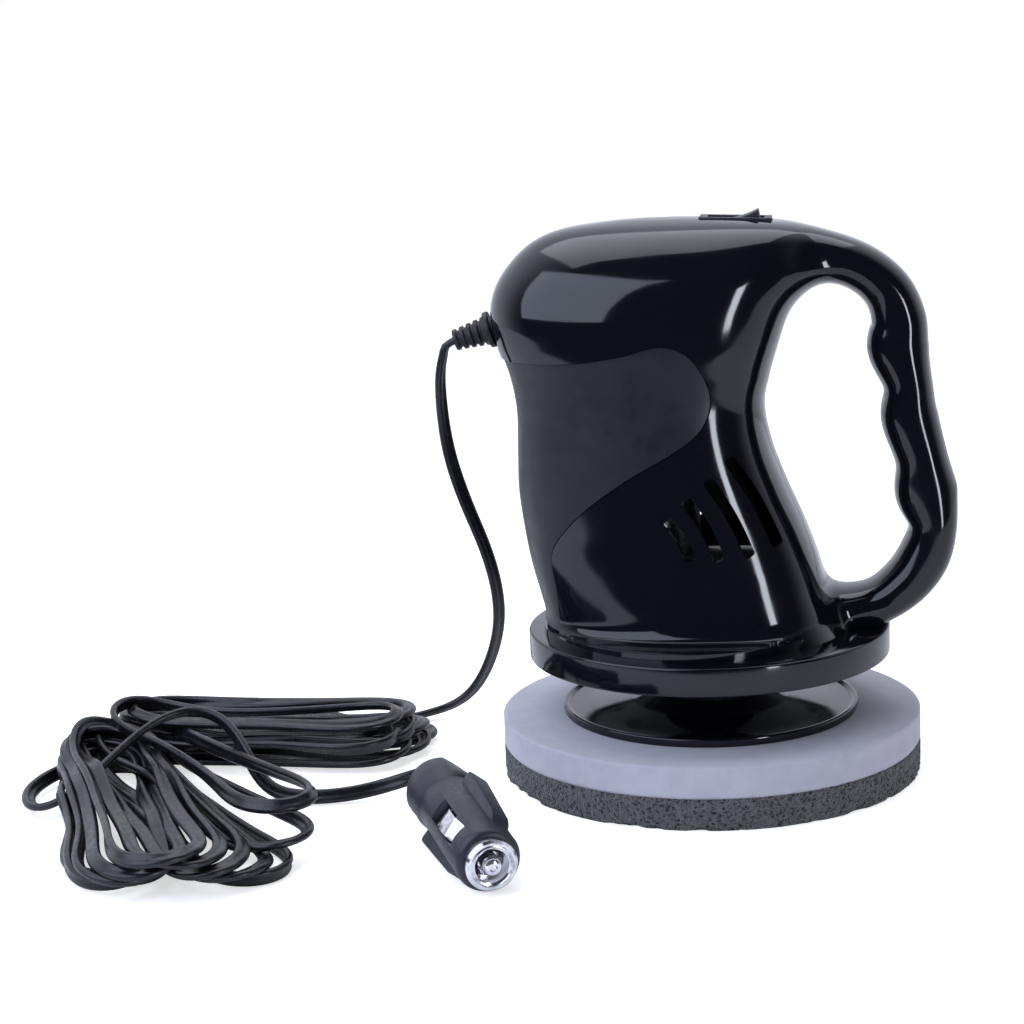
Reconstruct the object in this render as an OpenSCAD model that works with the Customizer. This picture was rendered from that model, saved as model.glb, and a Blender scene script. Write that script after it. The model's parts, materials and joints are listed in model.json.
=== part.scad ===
// Hand-held 12 V rotary car polisher: kettle-shaped two-half housing with a loop handle,
// a foam pad on a geared spindle, and a vehicle power plug on a flat twin cord.
// The spindle axis is Z and the floor under the pad is z = 0. +X points at the handle.

/* [Pad] */
// Diameter of both foam discs
pad_d = 150; // [130:1:170]
// Thickness of the coarse open-cell foam at the bottom
coarse_h = 11; // [8:0.5:16]
// Thickness of the fine closed-cell foam above it
fine_h = 11; // [8:0.5:16]

/* [Backing plate] */
// Diameter of the backing plate
plate_d = 106; // [90:1:120]
// Height of the upright rim of the plate
plate_rim_h = 3; // [2:0.5:5]
// Height of the hub above the foam
plate_hub_h = 16; // [12:1:18]

/* [Housing] */
// Diameter of the round flange at the bottom of the housing
flange_d = 129; // [120:1:140]
// Height of the underside of the flange above the floor
flange_z = 43; // [42:0.5:48]
// Height of the flange's outer wall
flange_h = 10; // [8:0.5:12]
// Height of the raised step on the flange
step_h = 3; // [1:0.5:4]
// Wall thickness of the housing halves
wall = 2.6; // [2:0.1:3.5]
// Half width of the handle across the grip
grip_w = 13; // [11:0.5:15]
// Gap between the two halves at the parting line
parting_gap = 0.1; // [0.05:0.05:0.4]

/* [Front cover] */
// How far the cover lies below the glossy skin
cover_inset = 0.7; // [0.3:0.1:1.2]
// Thickness of the cover
cover_t = 2.2; // [1.5:0.1:3]

/* [Vents] */
// Width of each slanted vent slot
vent_w = 3.8; // [2.5:0.1:4.5]

/* [Drive] */
// Gear module of the reduction
gear_module = 0.8; // [0.5:0.1:1]
// Teeth on the motor pinion
pinion_teeth = 15; // [12:1:18]
// Teeth on the spindle gear
spindle_teeth = 35; // [30:1:40]
// Diameter of the spindle
spindle_d = 8; // [8:1:10]
// Diameter of the motor can
motor_d = 36; // [30:1:40]
// Length of the motor can
motor_l = 48; // [40:1:52]

/* [Rocker switch] */
// Length of the switch bezel along the handle's direction
bezel_l = 25; // [20:0.5:28]
// Width of the switch bezel
bezel_w = 15; // [12:0.5:18]
// Tilt of the rocker each side of the middle
rocker_tilt = 13; // [8:1:16]

/* [Cord and plug] */
// Width of the flat twin cord
cord_w = 5.2; // [4:0.1:7]
// Diameter of the plug's barrel
plug_d = 21; // [20:0.1:21.5]
// Length of the plug behind its nose
plug_l = 70.5; // [60:0.5:80]

/* [Hidden] */
$fn = 64;
eps = 0.01;

// colours
gloss_black = [0.03, 0.03, 0.04];
cover_black = [0.07, 0.07, 0.1];
cord_black = [0.08, 0.08, 0.09];
foam_grey = [0.66, 0.65, 0.74];
foam_black = [0.12, 0.12, 0.12];
steel = [0.72, 0.73, 0.75];
copper = [0.72, 0.42, 0.22];
brass = [0.78, 0.66, 0.36];

// heights that follow from the pad and the flange
pad_top = coarse_h + fine_h;
flange_top = flange_z + flange_h;
step_top = flange_top + step_h;
floor_top = flange_top - wall;

// the drive
motor_x = -gear_module * (pinion_teeth + spindle_teeth) / 2;
case_z = 47;
gear_z = 61;
gear_h = 8;
cover_z = 72;
motor_z = 80;
shaft_r = 1.585;
bearing_h = 7;
bearing_low_z = 49;
bearing_high_z = 72;
bearing_pitch_r = 7.5;
running = 0.03;

// body sections from the flange to the crown: [height, front x, back x, half width]
body_rows = [[48, -57, 50, 45], [56, -58, 47, 44.5], [66, -60.5, 43, 43.5], [78, -63.5, 39.5, 42],
    [90, -65.5, 35, 40.5], [104, -67, 29, 39.5], [118, -66.8, 24, 39], [132, -66.6, 21.7, 38.5],
    [144, -68.5, 24, 38.8], [156, -72.3, 27.5, 39.8], [167, -74, 30, 40], [177, -71.3, 33, 38],
    [186, -64.5, 36, 32.5], [192, -56.5, 37, 25.5], [195.5, -46, 29, 18], [197.4, -30, 8, 9],
    [198, -18, -8, 1.5]];
front_power = 2.2;
back_power = 2.8;
widest = 0.55;
body_rings = 24;
body_sides = 36;

// handle from inside the hood, round the grip, to its root on the flange:
// [x, z, half thickness, half width]
grip_rows = [[12, 180, 14, 19], [30, 183.5, 11.5, 18], [44, 183, 8.6, 15.5], [56, 178.3, 8.2, 14],
    [64.5, 170.5, 8.6, 13], [68.3, 160.5, 9.4, 13], [68, 150.5, 10.6, 13], [71.3, 137.5, 8.5, 13],
    [71.8, 126, 9.9, 13], [75.8, 111.5, 9.2, 13], [77.4, 99.5, 10.9, 13], [79.6, 87.5, 8.5, 13],
    [76.6, 76.5, 9, 13], [69.8, 67, 8.6, 13], [59.5, 60, 7.8, 13.5], [46, 57.8, 7.8, 15],
    [30, 58, 7.5, 15]];
grip_rings = 40;
grip_sides = 16;
grip_power = 2.4;

// outline of the front cover in side view, from the hood's front down to the flange
cover_rows = [[-72, 151], [-60, 151], [-43, 151.8], [-26, 154.3], [-12, 157.3], [-2, 152.5],
    [4, 140], [1, 129], [-9, 121], [-25, 112], [-40, 101], [-50, 90], [-53, 82], [-51.5, 70], [-51, 56]];
cover_gap = 0.25;
cover_ledge = 1.7;

// vent slots: [top x, top z, bottom x, bottom z]
vents = [[-11.4, 98.2, -3.4, 84.2], [-5.1, 105.2, 6.3, 84.2], [2.6, 111.6, 16.6, 84.9],
    [9.7, 118.4, 26, 87.6]];

// the screws that hold the halves together, driven from the far side: [x, z, seat y]
housing_screw_spots = [[-42, 176, 22], [31, 72, 26], [-42, 68, 22], [55, 178.8, 7], [73.6, 118.5, 7],
    [66.5, 64.6, 7]];
base_screw_r = 54;
base_screw_angles = [42, 138, 222, 318];
case_screw_spots = [[18, 18], [18, -18], [-31, 12.5], [-31, -12.5]];

// rocker switch on the hood
switch_x = 12.8;
switch_z = 196.5;
switch_slope = 2.6;
rocker_pivot_z = -1.8;

// strain relief on the hood's front, pointing out and down
relief_x = -74;
relief_z = 160.6;
relief_drop = 15.6;
relief_l = 14;

// plug on the floor: where the nose is and how the plug lies
plug_nose = [-62.5, -135.5, 10.6];
plug_yaw = -67;
plug_pitch = 3.6;
plug_roll = 52;
barrel_l = 50;

// cord routes, millimetres from the spindle axis and the floor
lead_route = [[-87.6, 0, 156.8], [-90.6, 0, 155.2], [-92.8, 0.2, 151], [-93.8, 1, 144], [-93.8, 4, 128], [-92.4, 9, 112],
    [-88.4, 16, 94], [-84, 25, 77], [-81.6, 34, 61], [-81.6, 42, 46], [-84.4, 49, 33], [-89.6, 54, 20],
    [-96.6, 57, 9.5], [-105, 56.5, 4.4], [-113, 53, 3.2], [-121, 48, 3.2], [-130, 42.5, 4],
    [-139, 37, 5.5]];
tail_route = [[-237, -24, 5], [-242, -36, 3.6], [-241.5, -50, 3.2], [-233, -64.5, 3.4],
    [-223.5, -62.5, 6.5], [-216, -56, 12], [-208.5, -47, 18.5], [-201, -38.5, 24.5], [-192, -30.5, 28.2],
    [-182, -26.5, 28.4], [-173, -29, 25], [-165.5, -35.5, 18], [-159.5, -42, 9.5], [-152, -46.5, 3.6],
    [-141, -48.5, 2.8], [-127, -46.5, 3], [-115, -42.5, 4.4], [-105, -41.5, 7.4], [-98, -47, 11],
    [-93.3, -58.5, 13.8], [-89.9, -70.7, 15]];
cord_sides = 8;
hank_h = 24;
fan_h = 19;

// ---------------------------------------------------------------- curves and lofts

// Catmull-Rom curve through rows, u running from 0 to the last row's number
function row_at(rows, i) = rows[max(0, min(len(rows) - 1, i))];
function blend_rows(a, b, c, d, t) =
    0.5 * (2 * b + (c - a) * t + (2 * a - 5 * b + 4 * c - d) * t * t
    + (3 * b - a - 3 * c + d) * t * t * t);
function along(rows, u) =
    let (i = min(floor(u), len(rows) - 2))
    blend_rows(row_at(rows, i - 1), row_at(rows, i), row_at(rows, i + 1), row_at(rows, i + 2), u - i);
function sampled(rows, count) = [for (k = [0:count]) along(rows, k * (len(rows) - 1) / count)];
function unit(v) = v / norm(v);
function power_of(v, p) = sign(v) * pow(abs(v), p);

// faces of a tube of closed rings with flat ends
function tube_faces(rings, sides) = concat(
    [[for (i = [0:sides - 1]) i]],
    [for (r = [0:rings - 1]) for (i = [0:sides - 1])
        let (j = (i + 1) % sides)
        each [[r * sides + i, (r + 1) * sides + i, r * sides + j],
            [r * sides + j, (r + 1) * sides + i, (r + 1) * sides + j]]],
    [[for (i = [sides - 1:-1:0]) rings * sides + i]]);

// one horizontal section of the body, drawn in by inset
function body_ring(row, inset) =
    let (front = row[1] + inset, back = row[2] - inset, half = max(row[3] - inset, 0.4),
        middle = front + widest * (back - front),
        z = row[0] - inset * max(0, (row[0] - 165) / 33))
    [for (i = [0:body_sides - 1])
        let (a = 360 * i / body_sides, c = cos(a), s = sin(a),
            reach = c < 0 ? middle - front : back - middle,
            p = 2 / (c < 0 ? front_power : back_power))
        [middle + reach * power_of(c, p), half * power_of(s, p), z]];

module body_form(inset = 0) {
    usable = [for (row = sampled(body_rows, body_rings)) if (row[3] > inset + 1) row];
    rings = [for (row = usable) body_ring(row, inset)];
    polyhedron([for (ring = rings) each ring], tube_faces(len(rings) - 1, body_sides));
}

// one section of the handle, square to its centre line in the XZ plane
function grip_ring(row, ahead, inset) =
    let (t = unit([ahead[0], ahead[1]]), n = [t[1], -t[0]])
    [for (i = [0:grip_sides - 1])
        let (a = 360 * i / grip_sides, p = 2 / grip_power,
            across = (row[2] - inset) * power_of(cos(a), p),
            side = (row[3] - inset) * power_of(sin(a), p))
        [row[0] + n[0] * across, side, row[1] + n[1] * across]];

module grip_form(inset = 0) {
    rows = sampled(grip_rows, grip_rings);
    rings = [for (k = [0:grip_rings])
        grip_ring(rows[k], rows[min(k + 1, grip_rings)] - rows[max(k - 1, 0)], inset)];
    polyhedron([for (ring = rings) each ring], tube_faces(grip_rings, grip_sides));
}

// a round tube along a route; up is any direction that the route never follows
function route_ring(here, ahead, r, up) =
    let (t = unit(ahead), side = unit(cross(t, up)), top = cross(t, side))
    [for (i = [0:cord_sides - 1])
        let (a = 360 * i / cord_sides) here + r * (side * cos(a) + top * sin(a))];

module route_tube(route, r, rings, up = [0, 0, 1]) {
    line = sampled(route, rings);
    polyhedron([for (k = [0:rings]) each route_ring(line[k],
        line[min(k + 1, rings)] - line[max(k - 1, 0)], r, up)], tube_faces(rings, cord_sides));
}

// joins everything inside it into one clean mesh
module one_piece() resize([0, 0, 0]) children();

module half_space(side)
    translate([-150, side < 0 ? -100 - parting_gap / 2 : parting_gap / 2, 0]) cube([300, 100, 260]);

module pipe(outer_r, inner_r, h) {
    rotate_extrude() translate([inner_r, 0]) square([outer_r - inner_r, h]);
}

// ---------------------------------------------------------------- housing

module flange_form() {
    edge = 0.9;
    r = flange_d / 2;
    rotate_extrude($fn = 80) translate([0, flange_z])
        polygon([[0, 0], [r - edge, 0], [r, edge], [r, flange_h - edge], [r - edge, flange_h], [0, flange_h]]);
}

// the raised step follows the body and runs out under the handle's root
module step_outline() {
    offset(r = -7, $fn = 32) offset(delta = 7) {
        translate([-6, 0]) scale([53, 58]) circle(1, $fn = 64);
        translate([40, -11]) square([21.5, 22]);
    }
}

module step_form() {
    translate([0, 0, flange_top - 1]) linear_extrude(step_h + 0.2) step_outline();
    translate([0, 0, flange_top - 1]) linear_extrude(step_h + 1) offset(delta = -0.8) step_outline();
}

module skin() {
    body_form();
    grip_form();
    flange_form();
    step_form();
}

module cover_outline(grow = 0) {
    offset(delta = grow) polygon(concat([[-100, 151]], sampled(cover_rows, 42), [[-100, 56]]));
}

module cover_prism(grow = 0) {
    rotate([90, 0, 0]) linear_extrude(120, center = true) cover_outline(grow);
}

module hollow() {
    difference() {
        body_form(wall);
        difference() {
            cover_prism(3.5);
            body_form(cover_inset + cover_t + cover_ledge);
        }
    }
    grip_form(wall);
    translate([0, 0, flange_z - 1]) cylinder(h = floor_top - flange_z + 1, r = flange_d / 2 - 3, $fn = 80);
    translate([-6, 0, floor_top - 1]) scale([48, 38, 1]) cylinder(h = 9, r = 1, $fn = 64);
}

module screw_posts() {
    for (spot = housing_screw_spots)
        translate([spot[0], 60, spot[1]]) rotate([90, 0, 0]) cylinder(h = 120, r = 4, $fn = 24);
    for (angle = base_screw_angles)
        rotate([0, 0, angle]) translate([base_screw_r, 0, case_z + 0.6]) cylinder(h = 5, r = 4.5, $fn = 24);
}

// a thin wall across the cavity that steadies the motor
module motor_rib() {
    difference() {
        translate([-80, -60, 112]) cube([120, 120, 2.4]);
        translate([motor_x, 0, 100]) cylinder(h = 40, r = motor_d / 2 + 0.3, $fn = 64);
        translate([motor_x - 26, -8, 100]) cube([14, 16, 40]);
        translate([motor_x + 12, -8, 100]) cube([14, 16, 40]);
    }
}

module screw_holes() {
    for (spot = housing_screw_spots) {
        translate([spot[0], 60, spot[1]]) rotate([90, 0, 0]) cylinder(h = 60 - spot[2], r = 3.2, $fn = 24);
        translate([spot[0], 60, spot[1]]) rotate([90, 0, 0]) cylinder(h = 70.5, r = 1.6, $fn = 20);
    }
    for (angle = base_screw_angles)
        rotate([0, 0, angle]) translate([base_screw_r, 0, case_z]) cylinder(h = 5.2, r = 1.6, $fn = 20);
}

// one slanted slot, bowed a little towards the handle
module vent_slot(v) {
    bow = 0.9;
    steps = 6;
    top = [v[0], v[1]];
    run = [v[2], v[3]] - top;
    normal = [-run[1], run[0]] / norm(run);
    middle = [for (i = [0:steps]) top + run * i / steps + normal * bow * sin(180 * i / steps)];
    round = 1.1;
    offset(r = round, $fn = 16) offset(delta = -round)
        polygon(concat([for (p = middle) p + normal * vent_w / 2],
            [for (i = [steps:-1:0]) middle[i] - normal * vent_w / 2]));
}

module vent_cuts() {
    for (v = vents) rotate([90, 0, 0]) linear_extrude(120, center = true) vent_slot(v);
}

module switch_frame() translate([switch_x, 0, switch_z]) rotate([0, switch_slope, 0]) children();

module switch_cut() {
    switch_frame() {
        translate([-bezel_l / 2 - 0.2, -bezel_w / 2 - 0.2, -1.4]) cube([bezel_l + 0.4, bezel_w + 0.4, 10]);
        translate([-11, -6.7, -12]) cube([22, 13.4, 20]);
    }
}

module relief_frame() translate([relief_x, 0, relief_z]) rotate([0, -90 - relief_drop, 0]) children();

module relief_cut() {
    relief_frame() translate([0, 0, -14]) cylinder(h = 18, r = 4.3, $fn = 32);
}

module cover_seat() {
    difference() {
        cover_prism(cover_gap);
        body_form(cover_inset + cover_t + 0.1);
    }
}

module housing_half(side) {
    one_piece() intersection() {
        half_space(side);
        difference() {
            skin();
            difference() {
                hollow();
                screw_posts();
                motor_rib();
            }
            cover_seat();
            vent_cuts();
            switch_cut();
            relief_cut();
            screw_holes();
            grip_gate();
        }
    }
}

// keeps the handle's outer wall out of the body's cavity
module grip_gate() {
    intersection() {
        grip_form(wall);
        body_form(wall);
    }
}

module housing_left() color(gloss_black) housing_half(-1);

module housing_right() color(gloss_black) housing_half(1);

module front_cover() color(cover_black) {
    one_piece() intersection() {
        cover_prism(0);
        translate([-100, -60, step_top + 0.3]) cube([200, 120, 100]);
        difference() {
            body_form(cover_inset);
            body_form(cover_inset + cover_t);
        }
    }
}

module screw(head_r, head_h, shank_r, length) {
    slot_r = head_r * 0.55;
    difference() {
        union() {
            cylinder(h = head_h, r = head_r, $fn = 32);
            translate([0, 0, -length]) cylinder(h = length + eps, r = shank_r, $fn = 24);
        }
        for (turn = [0, 90])
            rotate([0, 0, turn]) translate([-slot_r, -0.35, head_h - 1]) cube([2 * slot_r, 0.7, 2]);
    }
}

module housing_screws() color(steel) {
    for (spot = housing_screw_spots)
        translate([spot[0], spot[2], spot[1]]) rotate([-90, 0, 0]) screw(2.9, 1.8, 1.5, spot[2] + 9);
}

module base_cover() color(gloss_black) {
    difference() {
        union() {
            translate([0, 0, flange_z + 1.5]) cylinder(h = case_z - flange_z - 1.5, r = flange_d / 2 - 3.3);
            translate([0, 0, flange_z + 0.5]) pipe(16, 10, 2);
        }
        translate([0, 0, flange_z]) cylinder(h = 10, r = 10);
        for (angle = base_screw_angles) rotate([0, 0, angle]) translate([base_screw_r, 0, flange_z]) {
            cylinder(h = 10, r = 1.6);
            cylinder(h = 3.2, r = 3.2);
        }
        for (spot = case_screw_spots) translate([spot[0], spot[1], flange_z]) {
            cylinder(h = 10, r = 1.6);
            cylinder(h = 3, r = 3.2);
        }
    }
}

module base_screws() color(steel) {
    for (angle = base_screw_angles)
        rotate([0, 0, angle]) translate([base_screw_r, 0, flange_z + 3.2]) rotate([180, 0, 0])
            screw(2.8, 1.5, 1.5, 5.2);
}

// ---------------------------------------------------------------- switch, relief and wires

module switch_body() color(gloss_black) switch_frame() {
    difference() {
        union() {
            translate([-bezel_l / 2, -bezel_w / 2, -1.3]) cube([bezel_l, bezel_w, 2]);
            translate([-10.8, -6.5, -16]) cube([21.6, 13, 15]);
        }
        translate([-9.7, -5.4, -9]) cube([19.4, 10.8, 13.5]);
        translate([0, 8, rocker_pivot_z]) rotate([90, 0, 0]) cylinder(h = 16, r = 1.05);
    }
}

module switch_terminals() color(brass) switch_frame() {
    for (x = [-7, 0, 7]) translate([x - 0.4, -2.4, -24]) cube([0.8, 4.8, 8]);
}

// side view of the rocker in its middle position
module rocker_outline() {
    bowl = 30;
    difference() {
        union() {
            translate([-8.8, -3.2]) square([17.6, 8.4]);
            translate([0, -3.2]) circle(3, $fn = 32);
        }
        translate([0, bowl + 2.4]) circle(bowl, $fn = 128);
        for (m = [0, 1]) mirror([m, 0]) translate([8.8, -3.2]) rotate(33) translate([-2, -9]) square([12, 9]);
    }
}

module rocker() color(gloss_black) switch_frame() {
    translate([0, 0, rocker_pivot_z]) rotate([0, -rocker_tilt, 0]) {
        rotate([90, 0, 0]) linear_extrude(10.2, center = true) rocker_outline();
        rotate([90, 0, 0]) cylinder(h = 12.6, r = 1, center = true);
    }
}

module strain_relief() color(cord_black) relief_frame() {
    ribs = 4;
    difference() {
        union() {
            cylinder(h = 1.8, r = 6.5);
            translate([0, 0, 1.8]) cylinder(h = relief_l - 1.8, r1 = 5.3, r2 = 3.9);
            translate([0, 0, -4]) cylinder(h = 4, r = 4.1);
            translate([0, 0, -6]) cylinder(h = 2, r = 5.6);
        }
        for (i = [0:ribs - 1]) translate([0, 0, 3.4 + i * 2.6]) pipe(8, 4.1 - i * 0.28, 1.3);
    }
}

module wire_red() color([0.6, 0.05, 0.05]) {
    route_tube([[-66.6, 1.6, 162.8], [-54, 2, 164.5], [-42, 3, 167], [-28, 4, 172.5], [-14, 4, 174],
        [-2, 3, 170], [5, 1.4, 171.6]], 0.9, 18);
}

module wire_black() color([0.05, 0.05, 0.05]) {
    route_tube([[-66.6, -1.6, 162.8], [-52, -4, 160], [-38, -9, 152], [-30, -9, 142], [-27, -8, 135]],
        0.9, 18);
}

// ---------------------------------------------------------------- motor

module motor_can() color(steel) translate([motor_x, 0, motor_z]) {
    difference() {
        cylinder(h = motor_l, r = motor_d / 2);
        translate([0, 0, 1.4]) cylinder(h = motor_l, r = motor_d / 2 - 1);
        translate([0, 0, -1]) cylinder(h = 4, r = shaft_r + running);
        for (y = [-12.5, 12.5]) translate([0, y, -1]) cylinder(h = 4, r = 1.5);
    }
}

module motor_end_cap() color(cord_black) translate([motor_x, 0, motor_z + motor_l]) {
    difference() {
        union() {
            cylinder(h = 3, r = motor_d / 2);
            translate([0, 0, 3]) cylinder(h = 3, r = 5);
            for (x = [-13, 10]) translate([x, -3.5, -8]) cube([3, 7, 8 + eps]);
        }
        translate([0, 0, -1]) cylinder(h = 5.5, r = shaft_r + running);
    }
    for (y = [-12, 12]) translate([-2.4, y - 0.4, 3]) cube([4.8, 0.8, 5]);
}

module motor_magnets() color([0.2, 0.2, 0.22]) translate([motor_x, 0, motor_z + 9]) {
    for (turn = [0, 180]) rotate([0, 0, turn - 60])
        rotate_extrude(angle = 120) translate([13.9, 0]) square([3, 26]);
}

module motor_brushes() color([0.25, 0.22, 0.2]) translate([motor_x, 0, motor_z + 42]) {
    for (turn = [0, 180]) rotate([0, 0, turn]) translate([4.3, -1.8, 0]) cube([5.7, 3.6, 4]);
}

module motor_screws() color(steel) {
    for (y = [-12.5, 12.5]) translate([motor_x, y, cover_z + 2]) rotate([180, 0, 0])
        screw(2.4, 1.6, 1.4, 9.2);
}

module rotor_core() color([0.45, 0.46, 0.48]) translate([motor_x, 0, motor_z + 10]) {
    poles = 5;
    difference() {
        cylinder(h = 24, r = 13.2);
        for (i = [0:poles - 1]) rotate([0, 0, 360 * i / poles]) {
            translate([11.4, -1, -1]) cube([4, 2, 26]);
            translate([8.6, 0, -1]) cylinder(h = 26, r = 3);
        }
        translate([0, 0, -1]) cylinder(h = 26, r = shaft_r);
    }
}

module windings() color(copper) translate([motor_x, 0, motor_z + 10]) {
    for (z = [-4.6, 24]) translate([0, 0, z]) difference() {
        pipe(12.2, 5, 4.6);
        for (i = [0:4]) rotate([0, 0, 36 + 72 * i]) translate([10.5, -0.7, -1]) cube([4, 1.4, 8]);
    }
    for (i = [0:4]) rotate([0, 0, 72 * i]) translate([8.6, 0, 0]) cylinder(h = 24, r = 2.8);
}

module commutator() color(copper) translate([motor_x, 0, motor_z + 40]) {
    bars = 5;
    difference() {
        cylinder(h = 7, r = 4.2);
        translate([0, 0, -1]) cylinder(h = 9, r = shaft_r);
        for (i = [0:bars - 1]) rotate([0, 0, 36 + 360 * i / bars])
            translate([3.4, -0.2, -1]) cube([2, 0.4, 9]);
    }
}

module motor_shaft() color(steel) {
    translate([motor_x, 0, gear_z - 0.5]) cylinder(h = motor_z + motor_l + 4 - gear_z, r = shaft_r);
}

// ---------------------------------------------------------------- gears

// half the angle of a tooth at radius r, for an involute flank of 20 degrees
function involute(a) = tan(a) * 180 / PI - a;
function tooth_half(r, pitch_r, teeth, slack) =
    let (base_r = pitch_r * cos(20), a = acos(min(1, base_r / r)))
    90 / teeth - slack + involute(20) - involute(a);

module gear_outline(teeth, slack) {
    pitch_r = gear_module * teeth / 2;
    tip_r = pitch_r + 0.86 * gear_module;
    root_r = pitch_r - 1.2 * gear_module;
    start_r = max(root_r, pitch_r * cos(20)) + eps;
    flank = [for (i = [0:3]) start_r + (tip_r - start_r) * i / 3];
    polygon([for (tooth = [0:teeth - 1])
        let (middle = 360 * tooth / teeth)
        each concat(
            [let (a = middle - tooth_half(start_r, pitch_r, teeth, slack)) root_r * [cos(a), sin(a)]],
            [for (r = flank) let (a = middle - tooth_half(r, pitch_r, teeth, slack)) r * [cos(a), sin(a)]],
            [for (i = [3:-1:0])
                let (r = flank[i], a = middle + tooth_half(r, pitch_r, teeth, slack)) r * [cos(a), sin(a)]],
            [let (a = middle + tooth_half(start_r, pitch_r, teeth, slack)) root_r * [cos(a), sin(a)]])]);
}

module pinion() color(brass) translate([motor_x, 0, gear_z - 0.5]) {
    difference() {
        linear_extrude(gear_h + 1) gear_outline(pinion_teeth, 0.9);
        translate([0, 0, -1]) cylinder(h = gear_h + 3, r = shaft_r);
    }
}

module spindle_gear() color(steel) translate([0, 0, gear_z]) {
    difference() {
        rotate([0, 0, 180 - 180 / spindle_teeth]) linear_extrude(gear_h)
            gear_outline(spindle_teeth, 0.4);
        translate([0, 0, -1]) cylinder(h = gear_h + 2, r = spindle_d / 2);
        translate([3, -1.5, -1]) cube([3, 3, gear_h + 2]);
        translate([0, 0, gear_h - 1.5]) pipe(12, 7.5, 2);
    }
}

module spindle_key() color(brass) translate([2.4, -1.5, gear_z]) cube([3.2, 3, gear_h]);

module spacer_sleeve() color(steel) {
    translate([0, 0, bearing_low_z + bearing_h]) pipe(5.6, spindle_d / 2, gear_z - bearing_low_z - bearing_h);
}

module circlip() color(steel) translate([0, 0, gear_z + gear_h]) {
    difference() {
        pipe(6, spindle_d / 2 - 0.4, 1);
        translate([-1.5, 0, -1]) cube([3, 8, 3]);
    }
}

module spindle() color(steel) {
    difference() {
        translate([0, 0, pad_top + 3]) cylinder(h = bearing_high_z + bearing_h - pad_top - 3.2, r = spindle_d / 2);
        translate([2.4, -1.5, gear_z]) cube([4, 3, gear_h]);
        translate([0, 0, gear_z + gear_h]) pipe(6, spindle_d / 2 - 0.4, 1);
        translate([0, 0, pad_top]) cylinder(h = 15, r = 2);
    }
}

// ---------------------------------------------------------------- bearings

module race(inner_r, outer_r, z) color(steel) translate([0, 0, z]) {
    difference() {
        pipe(outer_r, inner_r, bearing_h);
        translate([0, 0, bearing_h / 2]) rotate_extrude()
            translate([bearing_pitch_r, 0]) circle(2.05, $fn = 32);
    }
}

module ball_set(z) color(steel) translate([0, 0, z + bearing_h / 2]) {
    balls = 7;
    for (i = [0:balls - 1]) rotate([0, 0, 360 * i / balls]) translate([bearing_pitch_r, 0, 0]) sphere(1.98);
    translate([0, 0, -0.4]) pipe(bearing_pitch_r + 0.4, bearing_pitch_r - 0.4, 0.8);
}

module bearing_lower_outer() race(9, 11, bearing_low_z);
module bearing_lower_inner() race(spindle_d / 2, 6, bearing_low_z);
module bearing_lower_balls() ball_set(bearing_low_z);
module bearing_upper_outer() race(9, 11, bearing_high_z);
module bearing_upper_inner() race(spindle_d / 2, 6, bearing_high_z);
module bearing_upper_balls() ball_set(bearing_high_z);

// ---------------------------------------------------------------- gear case

module case_block(z, h, grow = 0) {
    translate([0, 0, z]) {
        cylinder(h = h, r = 21 + grow);
        translate([motor_x, 0, 0]) cylinder(h = h, r = 13 + grow);
        for (spot = case_screw_spots) translate([spot[0], spot[1], 0]) cylinder(h = h, r = 5);
    }
}

module gear_case() color([0.6, 0.61, 0.63]) {
    difference() {
        case_block(case_z, cover_z - case_z);
        translate([0, 0, gear_z - 2]) cylinder(h = 20, r = 17);
        translate([motor_x, 0, gear_z - 2]) cylinder(h = 20, r = 8);
        translate([0, 0, bearing_low_z]) cylinder(h = bearing_h + eps, r = 11);
        translate([0, 0, case_z - 1]) cylinder(h = 20, r = 9);
        for (spot = case_screw_spots) translate([spot[0], spot[1], case_z - 1]) cylinder(h = 40, r = 1.6);
    }
}

module gear_case_cover() color([0.6, 0.61, 0.63]) {
    difference() {
        case_block(cover_z, motor_z - cover_z);
        translate([0, 0, bearing_high_z - eps]) cylinder(h = bearing_h + eps, r = 11);
        translate([motor_x, 0, cover_z - 1]) cylinder(h = 20, r = 3);
        for (y = [-12.5, 12.5]) translate([motor_x, y, cover_z - 1]) {
            cylinder(h = 20, r = 1.5);
            cylinder(h = 3, r = 2.6);
        }
        for (spot = case_screw_spots) translate([spot[0], spot[1], cover_z - 1]) cylinder(h = 6, r = 1.6);
    }
}

module gear_case_screws() color(steel) {
    for (spot = case_screw_spots) translate([spot[0], spot[1], flange_z + 3]) rotate([180, 0, 0])
        screw(2.9, 1.6, 1.5, 30);
}

// ---------------------------------------------------------------- plate and pad

module backing_plate() color(gloss_black) translate([0, 0, pad_top]) {
    difference() {
        rotate_extrude($fn = 96) polygon([[0, 0], [plate_d / 2, 0], [plate_d / 2, plate_rim_h],
            [plate_d / 2 - 1.6, plate_rim_h], [plate_d / 2 - 2.2, 2], [28, 3.6], [20, 6.5], [17, plate_hub_h - 1],
            [16, plate_hub_h], [0, plate_hub_h]]);
        translate([0, 0, 3]) cylinder(h = 20, r = spindle_d / 2);
        translate([0, 0, -1]) cylinder(h = 10, r = 2.6);
        translate([0, 0, -1]) cylinder(h = 3.4, r = 5);
    }
}

module plate_screw() color(steel) translate([0, 0, pad_top + 2.4]) rotate([180, 0, 0]) screw(4.5, 2.2, 2, 12);

module foam_fine() color(foam_grey) translate([0, 0, coarse_h]) cylinder(h = fine_h, r = pad_d / 2, $fn = 96);

module foam_coarse() color(foam_black) cylinder(h = coarse_h, r = pad_d / 2, $fn = 96);

// ---------------------------------------------------------------- cord

module cord_lead() color(cord_black) route_tube(lead_route, cord_w / 2, 30, [0.5, -0.86, 0.1]);

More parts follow.
